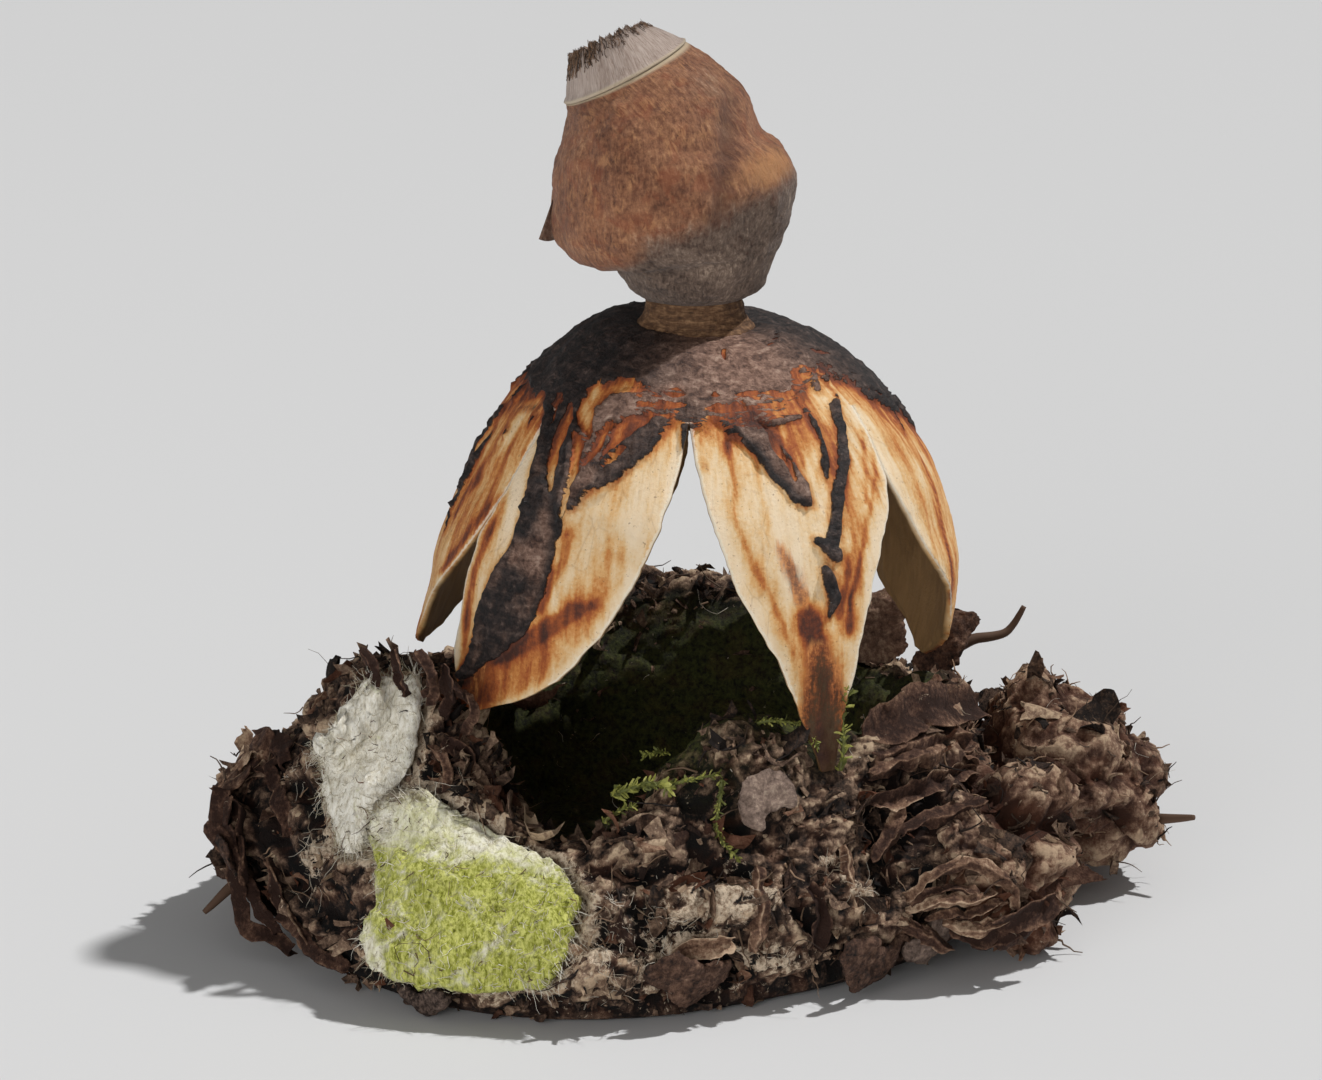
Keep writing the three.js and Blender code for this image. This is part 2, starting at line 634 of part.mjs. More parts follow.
const STRANDS = {
  twig_curled: {
    points: [[17.0, 12.0, 13.2], [19.0, 12.6, 14.0], [21.4, 13.2, 14.4], [22.6, 13.5, 16.2]],
    radius: 0.5,
  },
  moss_shoot: {
    points: [[8.9, -15.2, 13.6], [9.1, -14.9, 15.4], [9.0, -14.6, 17.2], [9.2, -14.4, 18.6]],
    radius: 0.6,
  },
  moss_strand: {
    points: [[-5.4, -19.4, 13.4], [-4.2, -19.9, 14.0], [-3.0, -19.7, 14.3], [-1.8, -19.4, 13.8]],
    radius: 0.7,
  },
  root_right: {
    points: [[29.5, 3.0, 4.5], [31.5, 1.5, 4.8], [33.2, 0.6, 5.2]],
    radius: 0.5,
  },
  root_left: {
    points: [[-29.0, -6.0, 3.6], [-30.8, -7.2, 2.6], [-32.0, -8.0, 1.6]],
    radius: 0.5,
  },
};

// ---- the pieces, each cut clear of those that lie over it ----------------------------------------------------

const BARK = { color: 0x4a3427, roughness: 0.95, metalness: 0 };
const LEAF = { color: 0x5b3f2e, roughness: 0.85, metalness: 0 };
const FELT = { color: 0xb9b893, roughness: 0.95, metalness: 0 };
const MOSS = { color: 0x7d8f3a, roughness: 0.8, metalness: 0 };
const SKIN_LOOK = { color: 0xcaa571, roughness: 0.7, metalness: 0 };
const SAC_LOOK = { color: 0x7b5640, roughness: 0.9, metalness: 0 };
const MOUTH_LOOK = { color: 0xa99c92, roughness: 0.85, metalness: 0 };
const STALK_LOOK = { color: 0x6d5136, roughness: 0.85, metalness: 0 };
const LITTER = { color: 0x3d2b20, roughness: 0.95, metalness: 0 };

const plans = [];
const plan = (name, make, look) => plans.push({ name, make, look });

plan("star", starSolid, SKIN_LOOK);
for (const [name, spec] of Object.entries(STRANDS)) {
  plan(name, (grow) => strandSolid(spec, grow), name.startsWith("moss") ? MOSS : BARK);
}
for (const [name, spec] of Object.entries(SCRAPS)) {
  plan(name, (grow) => scrapSolid(spec, grow), name.startsWith("leaf") ? LEAF : BARK);
}
for (const [name, spec] of Object.entries(FELTS)) {
  plan(name, (grow) => feltSolid(spec, grow), FELT);
}
for (const [name, spec] of Object.entries(CLODS)) {
  plan(name, (grow) => clodSolid(spec, grow), LITTER);
}
plan("litter_basket", basketSolid, LITTER);

// A piece keeps its whole shape, and the ones planned after it are cut back round it.
function cutPieces() {
  const cutters = [];
  return plans.map(({ name, make, look }) => {
    let solid = make(0);
    const box = solid.boundingBox();
    for (const cutter of cutters) {
      const apart = [0, 1, 2].some((k) => cutter.box.min[k] > box.max[k] || cutter.box.max[k] < box.min[k]);
      if (!apart) {
        solid = solid.subtract(cutter.solid);
      }
    }
    if (name !== "litter_basket") {
      const grown = make(GAP).add(solid);
      cutters.push({ solid: grown, box: grown.boundingBox() });
    }
    return { name, look, solid: largest(solid) };
  });
}

const part = new THREE.Group();
const pieces = [
  { name: "spore_sac", look: SAC_LOOK, solid: sacSolid() },
  { name: "mouth_cone", look: MOUTH_LOOK, solid: mouthSolid() },
  { name: "stalk", look: STALK_LOOK, solid: stalkSolid() },
  ...cutPieces(),
];
for (const { name, look, solid } of pieces) {
  const mesh = new THREE.Mesh(geometryFrom(solid), new THREE.MeshStandardMaterial(look));
  mesh.name = name;
  part.add(mesh);
}

// The origin is the middle of the underside.
const bounds = new THREE.Box3().setFromObject(part);
const middle = bounds.getCenter(new THREE.Vector3());
part.position.set(-middle.x, -middle.y, -bounds.min.z);

export default part;
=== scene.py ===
import itertools
import json
import math

import bmesh
import bpy
import numpy as np
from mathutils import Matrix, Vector
from mathutils.bvhtree import BVHTree


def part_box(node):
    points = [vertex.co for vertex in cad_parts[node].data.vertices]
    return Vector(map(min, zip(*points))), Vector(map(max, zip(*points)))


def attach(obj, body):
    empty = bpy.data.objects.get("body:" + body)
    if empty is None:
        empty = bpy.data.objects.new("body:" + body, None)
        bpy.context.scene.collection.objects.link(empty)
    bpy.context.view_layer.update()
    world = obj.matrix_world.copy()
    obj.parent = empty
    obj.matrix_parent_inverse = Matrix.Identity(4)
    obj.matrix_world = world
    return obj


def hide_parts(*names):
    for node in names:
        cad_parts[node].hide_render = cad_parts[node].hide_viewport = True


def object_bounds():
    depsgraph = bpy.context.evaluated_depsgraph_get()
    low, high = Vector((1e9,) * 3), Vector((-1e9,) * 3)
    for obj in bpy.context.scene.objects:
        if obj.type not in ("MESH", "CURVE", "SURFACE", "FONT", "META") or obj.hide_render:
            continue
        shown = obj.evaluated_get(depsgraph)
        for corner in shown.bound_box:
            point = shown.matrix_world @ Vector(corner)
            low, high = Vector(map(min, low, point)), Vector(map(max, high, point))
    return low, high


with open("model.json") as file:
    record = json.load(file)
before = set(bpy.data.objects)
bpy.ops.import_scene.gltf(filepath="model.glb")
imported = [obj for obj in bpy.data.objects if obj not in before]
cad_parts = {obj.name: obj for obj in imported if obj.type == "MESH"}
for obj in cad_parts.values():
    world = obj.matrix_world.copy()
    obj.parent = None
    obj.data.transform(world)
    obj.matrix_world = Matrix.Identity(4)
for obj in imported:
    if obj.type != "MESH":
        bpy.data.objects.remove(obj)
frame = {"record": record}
cad_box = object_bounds()

# Shapes are worked out in millimetres from the stalk's axis on the resting plane.
MM = 0.001
stalk_low, stalk_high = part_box("stalk")
AXIS = np.array([(stalk_low.x + stalk_high.x) / 2, (stalk_low.y + stalk_high.y) / 2, cad_box[0].z])
TURN = 2 * math.pi
# How fine the even meshes are, and the height that loose scraps keep off the ground.
LITTER_VOXEL, FINE_VOXEL = 0.33, 0.18
CLEAR = 0.02


# ---- numbers that vary smoothly ------------------------------------------------------------------


def spline(values, u, closed=False):
    """Catmull-Rom value at u in 0..1 through equally spaced values."""
    values = np.asarray(values, float)
    count = len(values)
    spans = count if closed else count - 1
    x = (u % 1.0) * spans if closed else np.clip(u, 0, 1) * spans
    i = np.minimum(np.floor(x).astype(int), spans - 1)
    f = x - i
    around = (i - 1, i, i + 1, i + 2)
    a, b, c, d = (values[k % count if closed else np.clip(k, 0, count - 1)] for k in around)
    return b + 0.5 * f * (c - a + f * (2 * a - 5 * b + 4 * c - d + f * (3 * (b - c) + d - a)))


def curve(way, t):
    """A smooth line through places, at each share t of its length."""
    return np.stack([spline(column, t) for column in np.array(way, float).T], -1)


def smooth(x, low, high):
    """0 at low, 1 at high, eased between; low above high turns it round."""
    t = np.clip((x - low) / (high - low), 0, 1)
    return t * t * (3 - 2 * t)


def hill(*gaps):
    """1 where every gap is nought, falling off round it; each gap is a (distance, width)."""
    first, *others = (-((distance / width) ** 2) for distance, width in gaps)
    return np.exp(sum(others, first))


def unit(vectors):
    return vectors / np.maximum(np.linalg.norm(vectors, axis=-1, keepdims=True), 1e-9)


def signed(degrees):
    """The same angle between -180 and 180 degrees."""
    return (degrees + 180) % 360 - 180


def lattice(cells, seed):
    """A random number between -1 and 1 for each whole-numbered cell."""
    h = (cells[:, 0] * 73856093) ^ (cells[:, 1] * 19349663) ^ (cells[:, 2] * 83492791) ^ (seed * 40503 + 977)
    h &= 0xFFFFFFFF
    for shift, factor in ((15, 0x85EBCA6B), (13, 0xC2B2AE35), (16, 1)):
        h ^= h >> shift
        h = (h * factor) & 0xFFFFFFFF
    return (h % 65536) / 32767.5 - 1


def bumps(points, size, seed=0):
    """Smooth random heights between -1 and 1, about one bump to each size."""
    p = np.asarray(points, float) / size + seed * 7.31
    cell = np.floor(p).astype(np.int64)
    f = p - cell
    f = f * f * (3 - 2 * f)
    total = np.zeros(len(p))
    for corner in range(8):
        step = np.array([(corner >> k) & 1 for k in range(3)])
        total += lattice(cell + step, seed) * np.prod(np.where(step, f, 1 - f), axis=1)
    return total


def layered(points, size, octaves, seed, stride, keep, shape):
    """Shaped bumps on shaped bumps, each layer half the size of the one before and keep times its weight."""
    total = weight = 0
    for k in range(octaves):
        total = total + keep**k * shape(bumps(points, size / 2**k, seed + stride * k))
        weight += keep**k
    return total / weight


def rough(points, size, octaves=4, seed=0):
    """Uneven ground, between -1 and 1."""
    return layered(points, size, octaves, seed, 11, 0.55, lambda h: h)


def drift(points, size, octaves, seed=0):
    """Rough in all three directions, to push points about."""
    return np.stack([rough(points, size, octaves, seed + axis) for axis in range(3)], -1)


def ridged(points, size, octaves=4, seed=0):
    """Sharp-backed ridges with rounded troughs, 0 to 1."""
    return layered(points, size, octaves, seed, 13, 0.55, lambda h: (1 - np.abs(h)) ** 2)


def billows(points, size, octaves=3, seed=0):
    """Rounded lumps with sharp creases between them, 0 to 1."""
    return layered(points, size, octaves, seed, 17, 0.5, lambda h: np.abs(h) ** 0.75)


def along_line(points, line, spread):
    """1 on a line through places, falling off round it."""
    best = np.full(len(points), 99.0)
    line = np.array(line, float)
    for a, b in zip(line, line[1:]):
        t = np.clip((points - a) @ (b - a) / np.dot(b - a, b - a), 0, 1)
        best = np.minimum(best, np.linalg.norm(points - a - t[:, None] * (b - a), axis=1))
    return hill((best, spread))


def pebbles(points, size, seed=0):
    """Rounded cells about one size apart: height above their joints and a random number, both 0..1."""
    p = np.asarray(points, float) / size + seed * 3.17
    cell = np.floor(p).astype(np.int64)
    nearest = np.full(len(p), 9.0)
    second = np.full(len(p), 9.0)
    number = np.zeros(len(p))
    for step in np.ndindex(3, 3, 3):
        at = cell + np.array(step) - 1
        seedling = at + 0.5 + 0.42 * np.stack([lattice(at, seed + 5 * k) for k in (1, 2, 3)], -1)
        distance = np.linalg.norm(p - seedling, axis=1)
        closer = distance < nearest
        second = np.where(closer, nearest, np.minimum(second, distance))
        number = np.where(closer, 0.5 + 0.5 * lattice(at, seed + 41), number)
        nearest = np.where(closer, distance, nearest)
    return np.clip((second - nearest) * 1.6, 0, 1) ** 0.6, number


def polar(bearing, radius, z):
    a = np.radians(bearing)
    return np.stack([radius * np.cos(a), radius * np.sin(a), z + 0 * a], -1)


def near(points, x, y, z, spread):
    """1 at a place, falling off round it by a spread along each axis."""
    gap = (points - np.array([x, y, z])) / np.asarray(spread, float)
    return np.exp(-(gap**2).sum(axis=1))


# ---- making pieces -------------------------------------------------------------------------------


def linked(name, data):
    obj = bpy.data.objects.new(name, data)
    bpy.context.scene.collection.objects.link(obj)
    return obj


def select_only(obj):
    bpy.ops.object.select_all(action="DESELECT")
    bpy.context.view_layer.objects.active = obj
    obj.select_set(True)


def piece(name, points, faces, material, replaces=(), fields=None, uv=None, soft=True):
    """A finished piece from points in millimetres, faces, and numbers that its material reads at each point.

    soft rounds the shading: all over if True, or only over edges flatter than that many degrees.
    """
    mesh = bpy.data.meshes.new(name)
    mesh.from_pydata(np.asarray(points) * MM + AXIS, [], faces)
    mesh.update()
    for key, values in (fields or {}).items():
        mesh.attributes.new(key, "FLOAT", "POINT").data.foreach_set("value", np.asarray(values, np.float32))
    if uv is not None:
        corners = np.empty(len(mesh.loops), np.int32)
        mesh.loops.foreach_get("vertex_index", corners)
        mesh.uv_layers.new(name="UVMap").data.foreach_set("uv", np.asarray(uv, np.float32)[corners].ravel())
    obj = linked(name, mesh)
    if soft is True:
        mesh.shade_smooth()
    elif soft:
        select_only(obj)
        bpy.ops.object.shade_smooth_by_angle(angle=math.radians(soft))
    mesh.materials.append(material)
    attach(obj, "root")
    if replaces:
        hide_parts(*replaces)
    return obj


def grid_faces(rows, columns, closed=False, start=0):
    """Quads of a grid of points laid row by row; a closed one joins its last column to its first."""
    i, j = np.meshgrid(np.arange(rows - 1), np.arange(columns if closed else columns - 1), indexing="ij")
    a = i * columns + j
    b = i * columns + (j + 1) % columns
    return np.stack([a, b, b + columns, a + columns], -1).reshape(-1, 4) + start


def capped_rings(rows, columns):
    """Faces of rings laid row by row, closed by two last points, one at the foot and one at the head."""
    foot, last = rows * columns, (rows - 1) * columns
    faces = grid_faces(rows, columns, closed=True).tolist()
    for j in range(columns):
        k = (j + 1) % columns
        faces += [[foot, k, j], [foot + 1, last + j, last + k]]
    return faces


def sheet_faces(rows, columns):
    """Faces of a thin closed sheet: a grid of points, the same grid on its other side, and a wall between.

    They look outwards where the first grid is on the side that its rows, then its columns, turn about.
    """
    grid, n = grid_faces(rows, columns), rows * columns
    ring = [
        *range(columns), *range(2 * columns - 1, n, columns), *range(n - 2, n - columns - 1, -1),
        *range(n - 2 * columns, 0, -columns),
    ]
    wall = [[a + n, a, b, b + n] for a, b in zip(ring, [*ring[1:], ring[0]])]
    return np.concatenate([grid[:, [0, 3, 2, 1]], grid[:, [3, 0, 1, 2]] + n, wall])


def normals_of(points, quads):
    """Outward directions at the points of a mesh of quads."""
    normals = np.zeros_like(points)
    face = np.cross(points[quads[:, 2]] - points[quads[:, 0]], points[quads[:, 3]] - points[quads[:, 1]])
    for k in range(4):
        np.add.at(normals, quads[:, k], face)
    return unit(normals)


def node_copy(nodes, voxel, rounding):
    """A fine even mesh over a copy of CAD nodes, in millimetres, rounded off: its points and its quads."""
    bm = bmesh.new()
    for node in nodes:
        bm.from_mesh(bpy.data.objects[node].data)
    bmesh.ops.remove_doubles(bm, verts=bm.verts, dist=1e-6)
    obj = linked("copy", bpy.data.meshes.new("copy"))
    bm.to_mesh(obj.data)
    bm.free()
    select_only(obj)
    remesh = obj.modifiers.new("even", "REMESH")
    remesh.mode, remesh.voxel_size = "VOXEL", voxel * MM
    bpy.ops.object.modifier_apply(modifier=remesh.name)
    mesh = obj.data
    points = np.empty(len(mesh.vertices) * 3)
    mesh.vertices.foreach_get("co", points)
    points = (points.reshape(-1, 3) - AXIS) / MM
    quads = np.array([list(p.vertices) for p in mesh.polygons if len(p.vertices) == 4])
    bpy.data.objects.remove(obj)
    bpy.data.meshes.remove(mesh)
    return relax(points, quads, rounding), quads


def relax(points, quads, times=2):
    """Rounds off a fine mesh by drawing each point towards its neighbours."""
    for _ in range(times):
        total = np.zeros_like(points)
        count = np.zeros(len(points))
        for k in range(4):
            for other in (1, 3):
                np.add.at(total, quads[:, k], points[quads[:, (k + other) % 4]])
                np.add.at(count, quads[:, k], 1)
        points = points + 0.5 * (total / np.maximum(count, 1)[:, None] - points)
    return points


# ---- materials -----------------------------------------------------------------------------------


def tone(red, green, blue):
    """A colour given as 0..255 screen values, as the linear values that a shader takes."""
    shares = (c / 255 for c in (red, green, blue))
    return tuple(c / 12.92 if c < 0.04045 else ((c + 0.055) / 1.055) ** 2.4 for c in shares) + (1.0,)


class Value:
    """One number of a material, with the arithmetic that adds its Math nodes."""

    def __init__(self, paint, socket):
        self.paint, self.socket = paint, socket

    def maths(self, operation, *values):
        made = self.paint.add("ShaderNodeMath", {"operation": operation}, *values)
        return Value(self.paint, made.outputs[0])

    def __add__(self, other):
        return self.maths("ADD", self, other)

    def __sub__(self, other):
        return self.maths("SUBTRACT", self, other)

    def __rsub__(self, other):
        return self.maths("SUBTRACT", other, self)

    def __mul__(self, other):
        return self.maths("MULTIPLY", self, other)

    __radd__, __rmul__ = __add__, __mul__

    def step(self, low, high):
        """0 below low, 1 above high, eased between; low above high turns it round."""
        made = self.paint.add(
            "ShaderNodeMapRange", {"interpolation_type": "SMOOTHSTEP", "clamp": True},
            self, *((low, high, 0.0, 1.0) if low < high else (high, low, 1.0, 0.0)),
        )
        return Value(self.paint, made.outputs[0])


class Paint:
    """A material in the making on a Principled shader; its colours are (red, green, blue) screen values."""

    def __init__(self, name):
        self.material = bpy.data.materials.new(name)
        self.material.use_nodes = True
        self.nodes = self.material.node_tree.nodes
        self.links = self.material.node_tree.links
        self.shader = self.nodes["Principled BSDF"]

    def put(self, socket, value):
        if isinstance(value, Value):
            value = value.socket
        if isinstance(value, bpy.types.NodeSocket):
            self.links.new(value, socket)
        else:
            socket.default_value = value

    def add(self, kind, settings=None, *values, **named):
        """A node: its type, its settings first, then its sockets in order or by name."""
        made = self.nodes.new(kind)
        for key, value in (settings or {}).items():
            if key == "stops":
                elements = made.color_ramp.elements
                for place, colour in value[1:-1]:
                    elements.new(place).color = colour
                for element, stop in ((elements[0], value[0]), (elements[-1], value[-1])):
                    element.position, element.color = stop
            else:
                setattr(made, key, value)
        for socket, value in zip(made.inputs, values):
            self.put(socket, value)
        for key, value in named.items():
            self.put(made.inputs[key], value)
        return made

    def field(self, name):
        return Value(self, self.add("ShaderNodeAttribute", {"attribute_name": name}).outputs["Fac"])

    def stretched(self, coords, *scale):
        return self.add("ShaderNodeVectorMath", {"operation": "MULTIPLY"}, coords, scale).outputs[0]

    def place(self, *scale):
        """Object coordinates in millimetres, drawn out or squeezed along X, Y and Z."""
        coords = self.add("ShaderNodeTexCoord").outputs["Object"]
        return self.stretched(coords, *(s / MM for s in scale or (1, 1, 1)))

    def along(self, *scale):
        """The piece's own UV map in millimetres, drawn out or squeezed."""
        return self.stretched(self.add("ShaderNodeUVMap", {"uv_map": "UVMap"}).outputs[0], *scale, 1.0)

    def noise(self, coords, size, detail=4.0, roughness=0.55, warp=0.0):
        made = self.add(
            "ShaderNodeTexNoise", None,
            Vector=coords, Scale=1 / size, Detail=detail, Roughness=roughness, Distortion=warp,
        )
        return Value(self, made.outputs["Fac"])

    def joints(self, coords, size):
        """Distance to the joints between random cells about one size apart."""
        settings = {"feature": "DISTANCE_TO_EDGE"}
        made = self.add("ShaderNodeTexVoronoi", settings, Vector=coords, Scale=1 / size)
        return Value(self, made.outputs["Distance"])

    def blend(self, amount, under, over):
        made = self.add("ShaderNodeMix", {"data_type": "RGBA", "clamp_factor": True})
        self.put(made.inputs[0], amount)
        self.put(made.inputs[6], under)
        self.put(made.inputs[7], tone(*over) if isinstance(over, tuple) else over)
        return made.outputs[2]

    def ramp(self, value, *stops):
        """Colour picked by a number; stops are (place, red, green, blue) from lowest to highest."""
        stops = [(place, tone(*colour)) for place, *colour in stops]
        return self.add("ShaderNodeValToRGB", {"stops": stops}, value).outputs["Color"]

    def finish(self, colour, roughness=0.8, height=None, depth=0.1, sheen=0.0, gloss=0.35):
        self.put(self.shader.inputs["Base Color"], colour)
        self.put(self.shader.inputs["Roughness"], roughness)
        self.shader.inputs["Specular IOR Level"].default_value = gloss
        self.shader.inputs["Sheen Weight"].default_value = sheen
        if height is not None:
            bump = self.add("ShaderNodeBump", None, Strength=1.0, Distance=depth * MM, Height=height)
            self.put(self.shader.inputs["Normal"], bump.outputs[0])
        return self.material


def skin_finish():
    """The arch's outer skin: cream, tan and rust fibres under a dark, cracked, fleshy layer."""
    p = Paint("earthstar_skin")
    grain = p.noise(p.along(1.0, 0.14), 0.4, 5.0, 0.62)
    fine = p.noise(p.place(), 0.26, 5.0, 0.68)
    cloud = p.noise(p.along(0.8, 0.3), 1.5, 4.0, 0.6, 0.4)
    streak = p.noise(p.along(1.0, 0.1), 0.75, 3.0, 0.5, 0.3)
    heat = p.field("warm") + (cloud - 0.5) * 0.85 + (streak - 0.5) * 0.8
    heat = heat + (fine - 0.5) * 0.45 + (grain - 0.5) * 0.35
    skin = p.ramp(
        heat.step(-0.1, 1.15),
        (0.0, 242, 219, 186), (0.18, 234, 202, 156), (0.36, 224, 176, 116),
        (0.56, 202, 132, 66), (0.76, 166, 86, 38), (0.94, 104, 50, 28), (1.0, 66, 36, 26),
    )
    veins = p.joints(p.along(1.0, 0.45), 1.1).step(0.05, 0.0) * cloud.step(0.48, 0.6)
    skin = p.blend(veins * 0.2, skin, (150, 92, 50))
    speckle = p.noise(p.place(), 0.22, 2.0, 0.5).step(0.66, 0.74) * 0.5
    skin = p.blend(speckle, skin, (122, 72, 42))
    dusky = p.ramp(
        fine * 0.4 + grain * 0.6 - p.field("dusk") * 0.13,
        (0.28, 16, 9, 6), (0.38, 74, 38, 20), (0.46, 150, 84, 42), (0.56, 212, 140, 78),
    )
    skin = p.blend((p.field("dusk") + (grain - 0.5) * 1.6).step(-0.3, 0.4) * 0.9, skin, dusky)
    rim = (p.field("rim") + (fine - 0.5) * 0.5).step(0.24, 0.08)
    skin = p.blend(rim * 0.65, skin, (244, 234, 214))
    edge = p.noise(p.place(), 0.5, 6.0, 0.66) - 0.5
    weft = p.noise(p.along(0.22, 1.0), 0.34, 4.0, 0.6, 0.5)
    flesh = p.field("flesh") + edge * 0.36 + (grain - 0.5) * 0.15 + (weft - 0.57) * p.field("net") * 4.8
    cover = flesh.step(-0.02, 0.05)
    crust = p.noise(p.place(), 0.9, 7.0, 0.68, 0.7)
    bands = p.noise(p.along(0.3, 1.0), 0.6, 5.0, 0.65, 0.5)
    mix = crust * 0.4 + fine * 0.25 + bands * 0.35
    dark = p.ramp(
        mix, (0.38, 12, 9, 9), (0.47, 28, 21, 20), (0.54, 56, 44, 40), (0.64, 108, 90, 82),
    )
    light = p.ramp(
        mix, (0.38, 52, 35, 29), (0.46, 108, 78, 64), (0.54, 156, 122, 104), (0.64, 206, 176, 156),
    )
    # Where "pale" is high the flesh takes the lighter colours. This is partly its own colour and partly
    # painted light on the lit side.
    dark = p.blend(p.field("pale"), dark, light)
    stain = flesh.step(-0.3, 0.0) * streak.step(0.3, 0.7) * 0.55
    skin = p.blend(stain, skin, (140, 70, 38))
    colour = p.blend(cover, skin, dark)
    under = p.field("under")
    below = p.ramp(cloud * 0.5 + grain * 0.5, (0.3, 140, 106, 66), (0.7, 184, 144, 96))
    colour = p.blend(under, colour, below)
    height = cover * 0.5 + mix * cover * 1.4 + fine * 0.35 + grain * 0.45
    return p.finish(colour, cover * -0.1 + 0.72, height, 0.24, gloss=0.4)


def sac_finish():
    """Suede-like brown skin, ochre on the bulges and greyer towards the neck."""
    p = Paint("spore_sac_skin")
    broad = p.noise(p.place(), 3.4, 4.0, 0.6, 0.5)
    fine = p.noise(p.place(), 0.34, 6.0, 0.72)
    nap = p.noise(p.along(1.0, 0.3), 0.26, 5.0, 0.7, 0.8)
    pick = broad * 0.22 + fine * 0.4 + nap * 0.38
    skin = p.ramp(
        pick, (0.37, 82, 54, 42), (0.45, 120, 80, 60), (0.54, 152, 106, 78), (0.66, 198, 148, 110),
    )
    red = p.noise(p.place(), 1.6, 3.0, 0.6, 0.6).step(0.48, 0.68) * 0.45
    skin = p.blend(red, skin, (144, 80, 54))
    flecks = p.noise(p.place(1, 1, 0.6), 1.1, 5.0, 0.7, 0.4).step(0.5, 0.62) * nap.step(0.44, 0.58) * 0.38
    skin = p.blend(flecks, skin, (196, 144, 98))
    ochre = (p.field("ochre") + (nap - 0.5) * 0.8).step(0.25, 1.1)
    skin = p.blend(ochre * 0.8, skin, (188, 136, 90))
    grey = p.ramp(
        pick, (0.37, 54, 41, 34), (0.45, 90, 74, 64), (0.53, 120, 101, 88), (0.64, 170, 150, 132),
    )
    skin = p.blend((p.field("low") + (nap - 0.5) * 1.2 + (broad - 0.5) * 0.9).step(0.1, 1.1), skin, grey)
    # Painted shade darkens the crease on the sac's front.
    skin = p.blend(p.field("crease") * 0.6, skin, (84, 60, 50))
    skin = p.blend(p.field("border"), skin, (196, 176, 148))
    height = fine * 0.5 + nap * 0.6 + broad * 0.15
    return p.finish(skin, 0.9, height, 0.2, sheen=0.1, gloss=0.22)


def mouth_finish():
    p = Paint("mouth_fibres")
    strands = p.noise(p.along(1.0, 0.1), 0.1, 5.0, 0.72, 0.5)
    broad = p.noise(p.along(1.0, 0.4), 0.9, 3.0, 0.5)
    rise = p.field("rise")
    colour = p.ramp(
        strands * 0.8 + broad * 0.2,
        (0.32, 132, 110, 98), (0.46, 176, 155, 142), (0.58, 198, 180, 168), (0.72, 222, 208, 198),
    )
    soot = (rise + p.field("left") * 0.22 + (strands - 0.5) * 1.5 + (broad - 0.5) * 0.9).step(0.88, 1.36)
    colour = p.blend(soot * 0.85, colour, (62, 44, 36))
    lip = (rise + (broad - 0.5) * 0.3).step(0.93, 1.02)
    colour = p.blend(lip * 0.75, colour, (124, 90, 62))
    colour = p.blend(rise.step(0.1, 0.05) * 0.8, colour, (206, 188, 160))
    return p.finish(colour, 0.75, strands, 0.16, sheen=0.2)


def stalk_finish():
    p = Paint("stalk_skin")
    rings = p.noise(p.place(0.25, 0.25, 1.0), 0.22, 4.0, 0.6, 0.4)
    fine = p.noise(p.place(), 0.4, 5.0, 0.65)
    colour = p.ramp(
        rings * 0.6 + fine * 0.4,
        (0.32, 54, 36, 25), (0.5, 106, 76, 52), (0.66, 160, 124, 90),
    )
    return p.finish(colour, 0.8, rings + fine, 0.15)


def litter_finish(name, darkest, middle, lightest, pale, grain=0.4, gloss=0.3):
    """Dead plant matter, each scrap as pale as its "shade" and mouldy where "mould" is high."""
    p = Paint(name)
    fine = p.noise(p.place(), grain, 6.0, 0.74)
    fibre = p.noise(p.place(1.0, 0.3, 0.6), grain, 4.0, 0.65, 1.0)
    patch = p.noise(p.place(), 2.4, 3.0, 0.6)
    pick = p.field("shade") * 0.95 + (fine - 0.5) * 1.4 + (fibre - 0.5) * 0.6 + (patch - 0.5) * 0.7 + 0.08
    colour = p.ramp(pick, (0.14, *darkest), (0.4, *middle), (0.66, *lightest), (0.94, *pale))
    colour = p.blend(p.field("rust") * 0.5, colour, (132, 76, 48))
    moss = p.ramp(fine, (0.38, 22, 24, 12), (0.6, 104, 110, 50))
    colour = p.blend(p.field("green"), colour, moss)
    lace = p.noise(p.place(), 0.8, 7.0, 0.75, 1.2)
    growth = (p.field("mould") + (lace - 0.5) * 2.6).step(0.4, 0.52)
    colour = p.blend(growth * 0.9, colour, p.ramp(fine, (0.4, 132, 108, 86), (0.56, 228, 208, 182)))
    return p.finish(colour, 0.86, fine + fibre * 0.5, 0.26, gloss=gloss)


